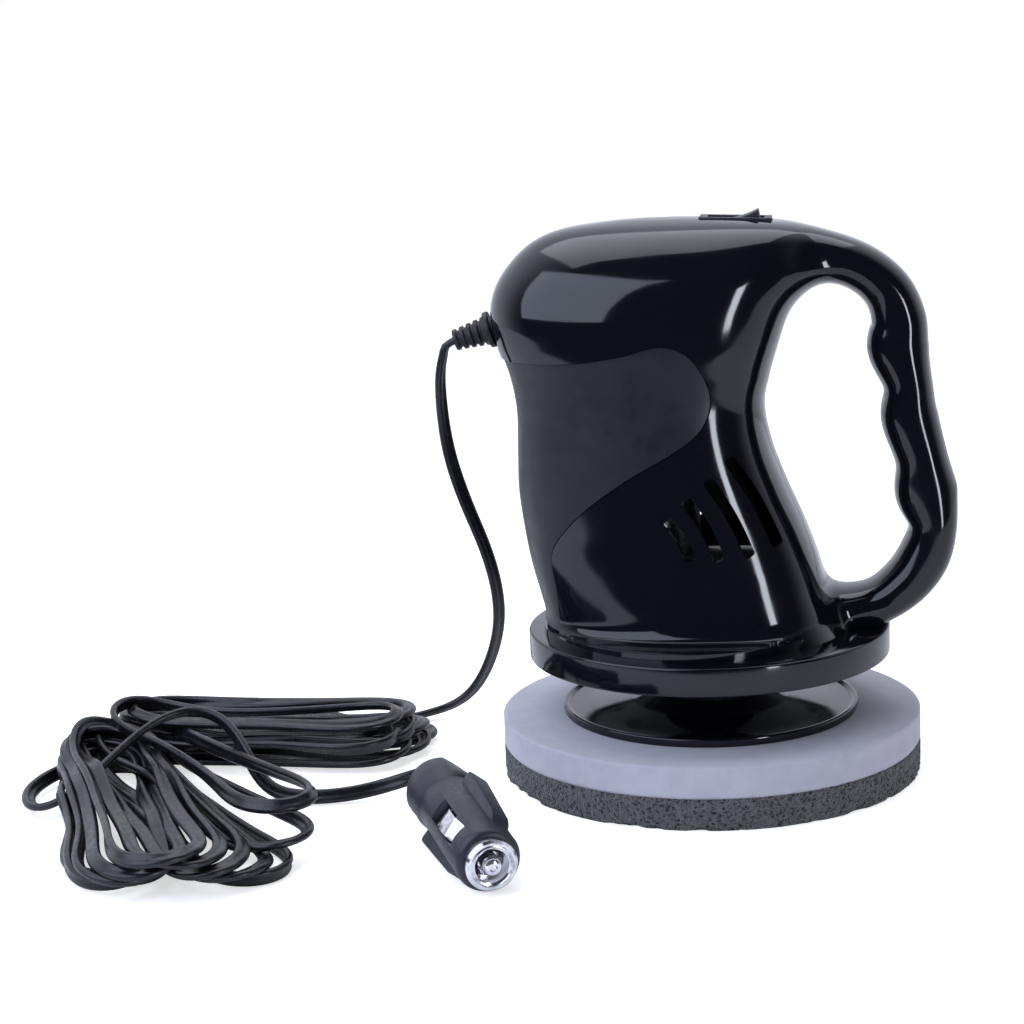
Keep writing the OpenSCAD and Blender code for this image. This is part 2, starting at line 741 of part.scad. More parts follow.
module cord_tail() color(cord_black) route_tube(tail_route, cord_w / 2, 42);

// the long folded runs behind
module hank_outline() {
    hull() {
        translate([-141, 3]) circle(34, $fn = 32);
        translate([-204, 10]) circle(30, $fn = 32);
    }
}

// the loops that spread out in front
module fan_outline() {
    difference() {
        hull() {
            translate([-213, -22]) circle(23, $fn = 32);
            translate([-168, -127]) circle(23, $fn = 32);
            translate([-149, -118]) circle(19, $fn = 32);
        }
        offset(delta = 0.05) hank_outline();
    }
}

module cord_hank() color(cord_black) linear_extrude(hank_h) hank_outline();

module cord_fan() color(cord_black) linear_extrude(fan_h) fan_outline();

// ---------------------------------------------------------------- plug

// the plug's own frame: +X out of the nose, the two contacts face +Z and -Z
module plug_frame()
    translate(plug_nose) rotate([0, 0, plug_yaw]) rotate([0, plug_pitch, 0]) rotate([plug_roll, 0, 0]) children();

module bar_x(from_x, to_x, r1, r2) {
    translate([from_x, 0, 0]) rotate([0, 90, 0]) cylinder(h = to_x - from_x, r1 = r1, r2 = r2);
}

module plug_shell() color(cord_black) plug_frame() {
    r = plug_d / 2;
    wing_w = 7.2;
    wing = [[-47, r - 3], [-47, 14], [-14, 11.7], [-12, r - 3]];
    difference() {
        union() {
            bar_x(-barrel_l, -4, r, r);
            bar_x(-4, -2.5, r, r - 1.5);
            translate([0, 0, -wing_w / 2]) linear_extrude(wing_w)
                for (m = [0, 1]) mirror([0, m]) polygon(wing);
        }
        bar_x(-barrel_l - 1, 5, 4.6, 4.6);
        for (side = [-1, 1]) translate([-35, -3.8, side > 0 ? 3 : -13]) cube([23.5, 7.6, 10]);
        bar_x(-12, 5, 7.5, 7.5);
    }
}

module plug_head() color(cord_black) plug_frame() {
    r = plug_d / 2;
    swell = 1.2;
    shoulder = 5;
    difference() {
        union() {
            bar_x(-barrel_l - shoulder, -barrel_l, r + swell, r);
            bar_x(-plug_l + shoulder, -barrel_l - shoulder, r + swell, r + swell);
            bar_x(-plug_l, -plug_l + shoulder, r - 3.5, r + swell);
        }
        for (side = [-1, 1]) translate([-plug_l - 1, side > 0 ? 9.6 : -19.6, -20])
            cube([plug_l - barrel_l - shoulder, 10, 40]);
        bar_x(-plug_l + 3, 0, 4.6, 4.6);
    }
}

module plug_nose_ring() color(steel) plug_frame() difference() {
    union() {
        bar_x(-11.8, -2.4, 7.45, 7.45);
        bar_x(-2.4, 0.4, 8.4, 8.4);
        bar_x(0.4, 1.2, 8.4, 7.6);
    }
    bar_x(-14, -1.6, 5.8, 5.8);
    bar_x(-3, 3, 3.6, 5.4);
}

module plug_tip() color(steel) plug_frame() {
    bar_x(-6.4, -5.2, 5, 5);
    bar_x(-5.2, 1.6, 2.9, 2.9);
    bar_x(1.6, 2.8, 2.9, 1.6);
}

module plug_fuse() color([0.8, 0.82, 0.84]) plug_frame() bar_x(-44, -16, 3, 3);

module plug_spring() color(steel) plug_frame() {
    turns = 4;
    for (i = [0:turns - 1]) translate([-14.6 + i * 1.5, 0, 0]) rotate([0, 90, 0])
        rotate_extrude() translate([3.4, 0]) circle(0.5, $fn = 16);
}

module plug_contact(side) color(steel) plug_frame() mirror([0, 0, side > 0 ? 0 : 1]) {
    translate([-32.5, -3, 7.6]) cube([19, 6, 0.8]);
    translate([-27, -3, 8.4]) cube([8, 6, 1.6]);
    translate([-25.5, -3, 10]) cube([5, 6, 0.9]);
}

module plug_contact_upper() plug_contact(1);
module plug_contact_lower() plug_contact(-1);

// ---------------------------------------------------------------- nodes

housing_left();
housing_right();
front_cover();
housing_screws();
base_cover();
base_screws();
switch_body();
switch_terminals();
rocker();
strain_relief();
wire_red();
wire_black();
motor_can();
motor_end_cap();
motor_magnets();
motor_brushes();
motor_screws();
rotor_core();
windings();
commutator();
motor_shaft();
pinion();
gear_case();
gear_case_cover();
gear_case_screws();
spindle();
spindle_gear();
spindle_key();
spacer_sleeve();
circlip();
bearing_lower_outer();
bearing_lower_inner();
bearing_lower_balls();
bearing_upper_outer();
bearing_upper_inner();
bearing_upper_balls();
backing_plate();
plate_screw();
foam_fine();
foam_coarse();
cord_lead();
cord_hank();
cord_fan();
cord_tail();
plug_shell();
plug_head();
plug_nose_ring();
plug_tip();
plug_spring();
plug_fuse();
plug_contact_upper();
plug_contact_lower();
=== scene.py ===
"""Looks of the 12 V rotary polisher: cord, moulded housing, foam pad, plug and switch.

Lengths in this file are millimetres until a mesh is made; the scene itself is in metres.
"""

import json
import math

import bmesh
import bpy
import numpy as np
from mathutils import Matrix, Vector


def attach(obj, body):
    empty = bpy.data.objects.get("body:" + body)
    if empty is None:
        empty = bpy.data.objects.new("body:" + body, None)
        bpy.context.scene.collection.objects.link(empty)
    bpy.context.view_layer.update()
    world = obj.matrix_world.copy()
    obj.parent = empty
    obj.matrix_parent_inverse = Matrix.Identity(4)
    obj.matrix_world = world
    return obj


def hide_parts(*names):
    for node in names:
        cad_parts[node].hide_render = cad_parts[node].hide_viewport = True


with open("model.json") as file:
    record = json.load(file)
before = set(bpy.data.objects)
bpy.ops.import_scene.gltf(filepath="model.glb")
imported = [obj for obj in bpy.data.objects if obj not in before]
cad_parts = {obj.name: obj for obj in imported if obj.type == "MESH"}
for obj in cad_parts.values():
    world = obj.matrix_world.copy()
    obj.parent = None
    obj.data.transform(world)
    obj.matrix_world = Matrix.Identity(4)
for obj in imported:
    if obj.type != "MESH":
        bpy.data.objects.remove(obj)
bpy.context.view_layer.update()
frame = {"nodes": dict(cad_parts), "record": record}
MM = 0.001


# ---------------------------------------------------------------- meshes

def catmull(rows, count):
    """The rows joined by a Catmull-Rom curve, sampled at count + 1 even steps of row number."""
    rows = np.array(rows, float)
    u = np.linspace(0, len(rows) - 1, count + 1)
    i = np.minimum(u.astype(int), len(rows) - 2)
    t = (u - i)[:, None]
    a, b, c, d = (rows[np.clip(i + k, 0, len(rows) - 1)] for k in (-1, 0, 1, 2))
    return 0.5 * (2 * b + (c - a) * t + (2 * a - 5 * b + 4 * c - d) * t**2
                  + (3 * b - a - 3 * c + d) * t**3)


def make(name, verts, faces, material=None, sharp=None):
    """A smooth-shaded mesh object from points in millimetres; edges sharper than sharp degrees stay crisp."""
    mesh = bpy.data.meshes.new(name)
    mesh.from_pydata((np.asarray(verts, float) * MM).tolist(), [], [list(map(int, f)) for f in faces])
    mesh.validate()
    obj = bpy.data.objects.new(name, mesh)
    bpy.context.collection.objects.link(obj)
    return finish_mesh(obj, material, sharp)


def finish_mesh(obj, material=None, sharp=None):
    """Smooth shading, sharp edges and a material on an object's mesh."""
    mesh = obj.data
    mesh.shade_smooth()
    if sharp is not None:
        mesh.set_sharp_from_angle(angle=math.radians(sharp))
    if material is not None:
        mesh.materials.clear()
        mesh.materials.append(material)
    return obj


def rings_to_faces(rings, sides, closed=False):
    """Quads between successive rings, with end caps unless the rings close on themselves."""
    faces = []
    for r in range(rings if closed else rings - 1):
        here, there = r * sides, (r + 1) % rings * sides
        for i in range(sides):
            j = (i + 1) % sides
            faces.append((here + i, here + j, there + j, there + i))
    if not closed:
        faces.append(tuple(range(sides - 1, -1, -1)))
        faces.append(tuple((rings - 1) * sides + i for i in range(sides)))
    return faces


def rounded(profile, radius, steps=4):
    """A profile of (distance, height) points with its inner corners rounded by radius."""
    points = [np.array(p, float) for p in profile]
    out = [points[0]]
    for before, here, after in zip(points, points[1:], points[2:]):
        a, b = before - here, after - here
        reach = min(radius, 0.45 * np.linalg.norm(a), 0.45 * np.linalg.norm(b))
        a, b = here + a / np.linalg.norm(a) * reach, here + b / np.linalg.norm(b) * reach
        for k in range(steps + 1):
            t = k / steps
            out.append((1 - t)**2 * a + 2 * t * (1 - t) * here + t**2 * b)
    out.append(points[-1])
    return out


def lathe(name, profile, sides=128, material=None, sharp=None, centre=(0, 0)):
    """A solid turned about Z. The profile starts and ends on the axis, or else closes into a ring."""
    profile = np.array(profile, float)
    solid = abs(profile[0][0]) < 1e-6 and abs(profile[-1][0]) < 1e-6
    body = profile[1:-1] if solid else profile
    angle = np.arange(sides) * 2 * math.pi / sides
    verts = np.array([(centre[0] + r * c, centre[1] + r * s, z)
                      for r, z in body for c, s in zip(np.cos(angle), np.sin(angle))])
    n = len(body)
    faces = []
    for r in range(n - 1 if solid else n):
        here, there = r * sides, (r + 1) % n * sides
        for i in range(sides):
            j = (i + 1) % sides
            faces.append((here + i, here + j, there + j, there + i))
    if solid:
        low, high = len(verts), len(verts) + 1
        verts = np.vstack([verts, [centre[0], centre[1], profile[0][1]],
                           [centre[0], centre[1], profile[-1][1]]])
        faces += [(low, (i + 1) % sides, i) for i in range(sides)]
        faces += [(high, (n - 1) * sides + i, (n - 1) * sides + (i + 1) % sides) for i in range(sides)]
    return make(name, verts, faces, material, sharp)


def turning(p):
    """Twice the area inside a closed outline, positive when it runs anticlockwise."""
    return np.sum(p[:, 0] * np.roll(p[:, 1], -1) - np.roll(p[:, 0], -1) * p[:, 1])


def prism(name, outline, low, high, axis="z"):
    """An outline of 2D points pushed from low to high along an axis; along y it lies in the XZ plane."""
    outline = np.array(outline, float)
    if turning(outline) < 0:
        outline = outline[::-1]
    n = len(outline)
    if axis == "z":
        verts = [(x, y, z) for z in (low, high) for x, y in outline]
    else:
        verts = [(x, y, z) for y in (high, low) for x, z in outline]
    faces = [tuple(range(n - 1, -1, -1)), tuple(range(n, 2 * n))]
    faces += [(i, (i + 1) % n, n + (i + 1) % n, n + i) for i in range(n)]
    return make(name, verts, faces)


def block(name, low, high, bevel=0.0, material=None):
    """A box between two corners, with rounded edges."""
    (x0, y0, z0), (x1, y1, z1) = low, high
    obj = prism(name, [(x0, y0), (x1, y0), (x1, y1), (x0, y1)], z0, z1)
    if bevel:
        soften(obj, bevel)
    return finish_mesh(obj, material, 35)


def soften(obj, width, segments=3, angle=30):
    """Bevels the sharp edges of a mesh."""
    modifier = obj.modifiers.new("bevel", "BEVEL")
    modifier.width = width * MM
    modifier.segments = segments
    modifier.limit_method = "ANGLE"
    modifier.angle_limit = math.radians(angle)
    bake(obj)
    return obj


def bake(obj):
    """Replaces an object's mesh with what its modifiers make of it."""
    bpy.context.view_layer.update()
    graph = bpy.context.evaluated_depsgraph_get()
    mesh = bpy.data.meshes.new_from_object(obj.evaluated_get(graph))
    obj.modifiers.clear()
    old, obj.data = obj.data, mesh
    bpy.data.meshes.remove(old)
    return obj


def combine(obj, operation, *others, keep=False):
    """Booleans obj with each of the others, which go away unless keep is set."""
    for other in others:
        modifier = obj.modifiers.new("cut", "BOOLEAN")
        modifier.operation = operation
        modifier.solver = "MANIFOLD"
        modifier.object = other
    bake(obj)
    if not keep:
        for other in others:
            bpy.data.objects.remove(other)
    return obj


def copy_of(obj, name):
    twin = obj.copy()
    twin.data = obj.data.copy()
    twin.name = name
    bpy.context.collection.objects.link(twin)
    return twin


def moved(obj, matrix):
    """Puts an object's mesh through a matrix given in millimetres."""
    matrix = matrix.copy()
    matrix.translation *= MM
    obj.data.transform(matrix)
    if matrix.determinant() < 0:
        obj.data.flip_normals()
    return obj


def joined(name, parts, material=None, sharp=None):
    """Several meshes that don't touch, as one object."""
    mesh = bmesh.new()
    for part in parts:
        mesh.from_mesh(part.data)
    out = bpy.data.meshes.new(name)
    mesh.to_mesh(out)
    mesh.free()
    for part in parts:
        bpy.data.objects.remove(part)
    obj = bpy.data.objects.new(name, out)
    bpy.context.collection.objects.link(obj)
    return finish_mesh(obj, material, sharp)


def place(obj, body, slot, *nodes):
    """The piece rides on a body and stands for these CAD nodes, which it hides; the slot argument is not
    used.
    """
    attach(obj, body)
    if nodes:
        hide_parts(*nodes)
    return obj


# ---------------------------------------------------------------- materials

class Shader:
    """A principled material with short calls for the nodes it is built from."""

    def __init__(self, name, colour, roughness, metallic=0.0, **sockets):
        self.material = bpy.data.materials.new(name)
        self.material.use_nodes = True
        self.nodes = self.material.node_tree.nodes
        self.links = self.material.node_tree.links
        self.bsdf = self.nodes["Principled BSDF"]
        self.bsdf.inputs["Base Color"].default_value = (*colour, 1)
        self.bsdf.inputs["Roughness"].default_value = roughness
        self.bsdf.inputs["Metallic"].default_value = metallic
        for socket, value in sockets.items():
            self.bsdf.inputs[socket.replace("_", " ")].default_value = value
        self.place = self.nodes.new("ShaderNodeTexCoord").outputs["Object"]
        self.height = None

    def add(self, kind, **values):
        node = self.nodes.new("ShaderNode" + kind)
        for key, value in values.items():
            if hasattr(node, key):
                setattr(node, key, value)
            else:
                socket = node.inputs[key.replace("_", " ")]
                if isinstance(value, bpy.types.NodeSocket):
                    self.links.new(value, socket)
                else:
                    socket.default_value = value
        return node

    def noise(self, size, detail=2.0, stretch=(1, 1, 1)):
        """Noise whose features are about size millimetres across."""
        place = self.place
        if stretch != (1, 1, 1):
            place = self.add("Mapping", Vector=self.place, Scale=stretch).outputs[0]
        return self.add("TexNoise", Vector=place, Scale=1 / (size * MM), Detail=detail).outputs["Fac"]

    def spread(self, value, low, high, start=0.3, end=0.7):
        """A value between start and end spread over low to high."""
        node = self.add("MapRange", Value=value, From_Min=start, From_Max=end, To_Min=low, To_Max=high)
        return node.outputs[0]

    def vary_roughness(self, value, low, high, start=0.3, end=0.7):
        self.links.new(self.spread(value, low, high, start, end), self.bsdf.inputs["Roughness"])
        return self

    def vary_colour(self, value, first, second, start=0.3, end=0.7):
        ramp = self.add("ValToRGB", Fac=value)
        ramp.color_ramp.elements[0].position = start
        ramp.color_ramp.elements[1].position = end
        ramp.color_ramp.elements[0].color = (*first, 1)
        ramp.color_ramp.elements[1].color = (*second, 1)
        self.links.new(ramp.outputs["Color"], self.bsdf.inputs["Base Color"])
        return self

    def bump(self, value, depth, strength=1.0):
        """Relief of that depth in millimetres, on top of any relief already there."""
        node = self.add("Bump", Height=value, Strength=strength, Distance=depth * MM)
        if self.height is not None:
            self.links.new(self.height, node.inputs["Normal"])
        self.height = node.outputs["Normal"]
        self.links.new(self.height, self.bsdf.inputs["Normal"])
        return self


def gloss_black():
    """Polished black moulding: faint sink marks, hairline scratches and a little dust haze."""
    s = Shader("gloss_black", (0.005, 0.006, 0.011), 0.08)
    haze = s.noise(14, 3)
    s.vary_roughness(haze, 0.055, 0.12)
    s.vary_colour(s.noise(0.35, 3), (0.0032, 0.0036, 0.0065), (0.0065, 0.0072, 0.0115), 0.35, 0.8)
    s.bump(s.noise(11, 1), 0.012, 0.35)
    s.bump(s.noise(0.9, 2, (1, 1, 0.06)), 0.0012, 0.3)
    return s.material


def satin_cover():
    """Finely eroded dark moulding of the front cover."""
    s = Shader("satin_cover", (0.012, 0.013, 0.019), 0.42)
    s.vary_colour(s.noise(9, 4), (0.0062, 0.007, 0.0125), (0.0095, 0.0105, 0.018))
    s.vary_roughness(s.noise(5, 3), 0.36, 0.46)
    s.bump(s.noise(0.32, 3), 0.012, 0.5)
    return s.material


def cord_vinyl():
    """Black vinyl with drag marks along the insulation and rubbed, slightly greyer patches."""
    s = Shader("cord_vinyl", (0.006, 0.006, 0.009), 0.3)
    s.vary_colour(s.noise(7, 4), (0.005, 0.005, 0.0075), (0.013, 0.0125, 0.0175), 0.35, 0.8)
    s.vary_roughness(s.noise(3, 3), 0.24, 0.42)
    s.bump(s.noise(1.3, 3), 0.035, 0.5)
    return s.material


def satin_plug():
    s = Shader("satin_plug", (0.02, 0.02, 0.026), 0.42)
    s.vary_colour(s.noise(4, 4), (0.014, 0.015, 0.024), (0.024, 0.025, 0.037))
    s.vary_roughness(s.noise(2, 3), 0.36, 0.5)
    s.bump(s.noise(0.28, 3), 0.02, 0.5)
    return s.material


def soft_rubber():
    s = Shader("soft_rubber", (0.012, 0.012, 0.015), 0.5)
    s.vary_colour(s.noise(2, 3), (0.009, 0.009, 0.012), (0.02, 0.02, 0.024))
    s.vary_roughness(s.noise(1.5, 2), 0.42, 0.6)
    s.bump(s.noise(0.25, 2), 0.02, 0.5)
    return s.material


def metal(name, colour, dark, rough, grain=(1, 1, 1), grain_size=0.6):
    """Bare metal with machining grain, finger-mark roughness and slightly darker stains."""
    s = Shader(name, colour, rough, 1.0)
    s.vary_colour(s.noise(2.5, 4), dark, colour, 0.3, 0.6)
    s.vary_roughness(s.noise(1.4, 3), rough * 0.75, rough * 1.5)
    s.bump(s.noise(grain_size, 2, grain), 0.008, 0.4)
    return s.material


def fine_foam():
    """Closed-cell foam: pale lavender grey with pin-hole cells, soft mottling, and painted shade darkening
    the colour down in the pin-holes.
    """
    s = Shader("fine_foam", (0.5, 0.48, 0.57), 0.9, Sheen_Weight=0.25, Sheen_Roughness=0.5)
    cells = s.add("TexVoronoi", Vector=s.place, Scale=1 / (0.55 * MM)).outputs["Distance"]
    mottle_and_pit_shade = s.add("Math", operation="MULTIPLY")
    s.links.new(s.noise(6, 4), mottle_and_pit_shade.inputs[0])
    # the cell pattern darkens the colour down in the pin-holes: painted shade, multiplied onto the real
    # mottling
    s.links.new(s.spread(cells, 0.75, 1.05, 0.0, 0.5), mottle_and_pit_shade.inputs[1])
    s.vary_colour(mottle_and_pit_shade.outputs[0], (0.465, 0.452, 0.515), (0.52, 0.505, 0.57), 0.25, 0.62)
    s.bump(cells, 0.12, 0.6)
    s.bump(s.noise(2.2, 3), 0.1, 0.3)
    return s.material


def coarse_foam():
    """Open-cell foam: charcoal relief of deep pores and torn struts, its colour taken from the relief:
    painted shade near black down in the pores, paler charcoal on the raised struts.
    """
    s = Shader("coarse_foam", (0.05, 0.05, 0.05), 0.95, Sheen_Weight=0.2)
    pores = s.add("TexVoronoi", Vector=s.place, Scale=1 / (1.7 * MM)).outputs["Distance"]
    fine = s.add("TexVoronoi", Vector=s.place, Scale=1 / (0.8 * MM)).outputs["Distance"]
    relief_and_shade = s.add("Math", operation="ADD")
    s.links.new(pores, relief_and_shade.inputs[0])
    s.links.new(fine, relief_and_shade.inputs[1])
    # the colour follows the relief: painted shade near black down in the pores, paler charcoal on the raised
    # struts
    s.vary_colour(relief_and_shade.outputs[0], (0.002, 0.002, 0.002), (0.14, 0.137, 0.14), 0.6, 1.2)
    s.bump(relief_and_shade.outputs[0], 1.2, 1.0)
    return s.material


def wire_vinyl(name, colour):
    s = Shader(name, colour, 0.4)
    s.vary_colour(s.noise(2, 2), tuple(0.7 * c for c in colour), colour)
    s.bump(s.noise(0.8, 2), 0.03, 0.4)
    return s.material


def glass_fuse():
    s = Shader("glass_fuse", (0.75, 0.78, 0.78), 0.1)
    s.vary_colour(s.noise(3, 2), (0.6, 0.62, 0.6), (0.8, 0.82, 0.82))
    s.bump(s.noise(1.5, 2), 0.01, 0.3)
    return s.material


GLOSS = gloss_black()
COVER = satin_cover()
CORD = cord_vinyl()
PLUG = satin_plug()
RUBBER = soft_rubber()
CHROME = metal("chrome", (0.86, 0.86, 0.88), (0.55, 0.55, 0.58), 0.16)
STEEL = metal("steel", (0.6, 0.6, 0.62), (0.36, 0.36, 0.38), 0.28)
ZINC = metal("zinc", (0.58, 0.6, 0.62), (0.36, 0.38, 0.4), 0.34)
IRON = metal("iron", (0.28, 0.28, 0.3), (0.13, 0.13, 0.14), 0.45)
MAGNET = metal("magnet", (0.1, 0.1, 0.11), (0.05, 0.05, 0.055), 0.6)
BRASS = metal("brass", (0.72, 0.54, 0.24), (0.46, 0.32, 0.13), 0.3)
COPPER = metal("copper", (0.78, 0.36, 0.2), (0.5, 0.2, 0.1), 0.3, (1, 1, 6), 0.5)
ALLOY = metal("alloy", (0.55, 0.56, 0.57), (0.34, 0.35, 0.36), 0.42, (1, 1, 1), 0.9)
BLACK_OXIDE = metal("black_oxide", (0.05, 0.05, 0.05), (0.025, 0.025, 0.027), 0.42)
FINE_FOAM = fine_foam()
COARSE_FOAM = coarse_foam()
GLASS = glass_fuse()
WIRE_RED = wire_vinyl("wire_red", (0.45, 0.02, 0.02))


# ---------------------------------------------------------------- camera, lights and floor

CAMERA_PLACE = (34.0, -779.3, 252.0)
CAMERA_HEADING = 7.572  # degrees towards -X from +Y
CAMERA_DROP = 11.353  # degrees below the horizon
CAMERA_ROLL = -2.371
CAMERA_LENS = 78.2


def make_camera():
    data = bpy.data.cameras.new("camera")
    data.lens = CAMERA_LENS
    data.clip_start = 0.05
    camera = bpy.data.objects.new("camera", data)
    bpy.context.collection.objects.link(camera)
    turn = (Matrix.Rotation(math.radians(CAMERA_HEADING), 4, "Z")
            @ Matrix.Rotation(math.radians(90 - CAMERA_DROP), 4, "X")
            @ Matrix.Rotation(math.radians(CAMERA_ROLL), 4, "Z"))
    camera.matrix_world = Matrix.Translation(Vector(CAMERA_PLACE) * MM) @ turn
    bpy.context.scene.camera = camera


def area_light(name, place, aim, size, power, colour=(1, 1, 1)):
    data = bpy.data.lights.new(name, "AREA")
    data.shape = "RECTANGLE"
    data.size, data.size_y = size
    data.energy = power
    data.color = colour
    light = bpy.data.objects.new(name, data)
    bpy.context.collection.objects.link(light)
    light.location = place
    light.rotation_euler = (Vector(aim) - Vector(place)).to_track_quat("-Z", "Y").to_euler()
    return light


def studio_world():
    """Near-white to the eye; to reflections, bright behind the object and dark on the camera's side."""
    world = bpy.data.worlds.new("studio")
    bpy.context.scene.world = world
    world.use_nodes = True
    nodes, links = world.node_tree.nodes, world.node_tree.links
    background = nodes["Background"]
    coord = nodes.new("ShaderNodeTexCoord")
    split = nodes.new("ShaderNodeSeparateXYZ")
    links.new(coord.outputs["Generated"], split.inputs[0])
    fade = nodes.new("ShaderNodeMapRange")
    fade.interpolation_type = "SMOOTHSTEP"
    for socket, value in (("From Min", -0.25), ("From Max", 0.5), ("To Min", 0.04), ("To Max", 1.0)):
        fade.inputs[socket].default_value = value
    links.new(split.outputs["Y"], fade.inputs["Value"])
    ray = nodes.new("ShaderNodeLightPath")
    pick = nodes.new("ShaderNodeMix")
    pick.data_type = "FLOAT"
    links.new(ray.outputs["Is Camera Ray"], pick.inputs["Factor"])
    links.new(fade.outputs[0], pick.inputs["A"])
    pick.inputs["B"].default_value = 1.0
    links.new(pick.outputs[0], background.inputs["Strength"])
    tint = nodes.new("ShaderNodeMix")
    tint.data_type = "RGBA"
    links.new(ray.outputs["Is Camera Ray"], tint.inputs[0])
    tint.inputs[6].default_value = (0.84, 0.88, 1, 1)
    tint.inputs[7].default_value = (1, 1, 1, 1)
    links.new(tint.outputs[2], background.inputs["Color"])


def make_floor():
    """A pale round floor that glows faintly, so that it meets the backdrop without an edge."""
    sides, radius, shift = 96, 900, 520
    rim = [(radius * math.cos(2 * math.pi * k / sides), shift + radius * math.sin(2 * math.pi * k / sides), 0)
           for k in range(sides)]
    s = Shader("floor", (0.9, 0.9, 0.9), 0.7)
    s.vary_colour(s.noise(60, 3), (0.88, 0.88, 0.885), (0.92, 0.92, 0.92))
    s.bump(s.noise(3, 2), 0.02, 0.2)
    s.bsdf.inputs["Specular IOR Level"].default_value = 0.2
    ray = s.add("LightPath")
    glow = s.spread(ray.outputs["Is Camera Ray"], 0.05, 0.62, 0, 1)
    s.bsdf.inputs["Emission Color"].default_value = (1, 1, 1, 1)
    s.links.new(glow, s.bsdf.inputs["Emission Strength"])
    make("floor", rim, [tuple(range(sides))], s.material)


bpy.context.scene.view_settings.view_transform = "Standard"
make_camera()
studio_world()
make_floor()
area_light("window", (-0.62, -0.5, 0.62), (-0.03, 0, 0.16), (1.15, 0.95), 9.5, (0.72, 0.8, 1.0))
area_light("overhead", (-0.05, 0.25, 0.95), (-0.03, 0, 0), (1.0, 0.7), 4.0, (0.9, 0.93, 1.0))
area_light("side", (0.62, -0.72, 0.12), (0.02, 0, 0.1), (0.12, 0.42), 2.2, (0.85, 0.9, 1.0))


# ---------------------------------------------------------------- cord

CORD_W, CORD_T = 5.2, 2.6
STEP = 4.0
LEAD = [(-87.6, 0, 156.8), (-90.6, 0, 155.2), (-92.8, 0.2, 151), (-93.8, 1, 144), (-93.8, 4, 128),
        (-92.4, 9, 112), (-88.4, 16, 94), (-84, 25, 77), (-81.6, 34, 61), (-81.6, 42, 46),
        (-84.4, 49, 33), (-89.6, 54, 20), (-96.6, 57, 9.5), (-105, 56.5, 4.4), (-113, 53, 3.2),
        (-121, 48, 3.2), (-130, 42.5, 4), (-139, 37, 5.5)]
TAIL = [(-237, -24, 5), (-242, -36, 3.6), (-241.5, -50, 3.2), (-233, -64.5, 3.4),
        (-223.5, -62.5, 6.5), (-216, -56, 12), (-208.5, -47, 18.5), (-201, -38.5, 24.5),
        (-192, -30.5, 28.2), (-182, -26.5, 28.4),
        (-173, -29, 25), (-165.5, -35.5, 18), (-159.5, -42, 9.5), (-152, -46.5, 3.6),
        (-141, -48.5, 2.8), (-127, -46.5, 3), (-115, -42.5, 4.4), (-105, -41.5, 7.4),
        (-98, -47, 11), (-93.3, -58.5, 13.8), (-89.9, -70.7, 15)]
# one row for each turn of the folded cord: near end x, y, far end x, y, end radius and height
TURNS = [(-236, 52, -112, 34, 14, 3), (-222, 26, -108, 26, 12.5, 4), (-222, 18, -109, 12, 13, 5),
         (-220, 8, -113, 2, 12.5, 6), (-222, 16, -110, 22, 12.5, 11), (-221, 10, -112, 8, 13, 13),
         (-222, 8, -116, -8, 12.5, 15), (-220, 14, -114, 16, 12.5, 19), (-221, 8, -116, 2, 12.5, 21),
         (-222, 6, -134, -94, 12.5, 20), (-224, 2, -133, -110, 12.5, 12),
         (-226, 0, -137, -126, 12.5, 6), (-227, -2, -143, -132, 12.5, 9),
         (-226, -4, -150, -136, 12.5, 13), (-226, -6, -157, -140, 12.5, 16),
         (-226, -8, -164, -144, 12.5, 18), (-226, -10, -171, -142, 12.5, 14),
         (-226, -12, -178, -140, 12.5, 11), (-224, -14, -184, -134, 12.5, 8),
         (-222, -16, -188, -124, 12.5, 6), (-222, -20, -194, -108, 12.5, 5)]
START_TURN, END_TURN = 0.18, 19.5


def long_loop(phase, half, radius):
    """Places along and across a long loop with round ends, for phases from 0 at its far tip to 1."""
    straight = half - radius
    quarter = math.pi * radius / 2
    whole = 4 * (straight + quarter)
    gone = (phase % 1) * whole
    side = np.where(gone < whole / 2, 1, -1)
    gone = np.minimum(gone, whole - gone)
    turned = (np.clip(gone, 0, quarter) + np.clip(gone - quarter - 2 * straight, 0, quarter)) / radius
    back = np.clip(gone - quarter, 0, 2 * straight)
    return straight - back + radius * np.cos(turned), side * radius * np.sin(turned)


def turn_points():
    """Points round the folded turns, near ends at the left and far ends to the right and the front."""
    rows = np.array(TURNS, float)
    t = np.linspace(START_TURN, END_TURN, 900)
    low = np.minimum(t.astype(int), len(rows) - 2)
    mix = (t - low)[:, None]
    mix = mix * mix * (3 - 2 * mix)
    row = rows[low] * (1 - mix) + rows[low + 1] * mix
    near, far = row[:, 0:2], row[:, 2:4]
    along = (far - near) / 2
    half = np.linalg.norm(along, axis=1, keepdims=True)
    across = np.stack([-along[:, 1], along[:, 0]], 1) / half
    reach, aside = long_loop(t[:, None], half, row[:, 4:5])
    flat = (near + far) / 2 + along / half * reach + across * aside
    return np.hstack([flat, row[:, 5:6]])


def even(points, step):
    """The same line with points an even step apart."""
    gaps = np.linalg.norm(np.diff(points, axis=0), axis=1)
    at = np.concatenate([[0], np.cumsum(gaps)])
    want = np.linspace(0, at[-1], int(round(at[-1] / step)) + 1)
    return np.stack([np.interp(want, at, points[:, k]) for k in range(3)], 1)


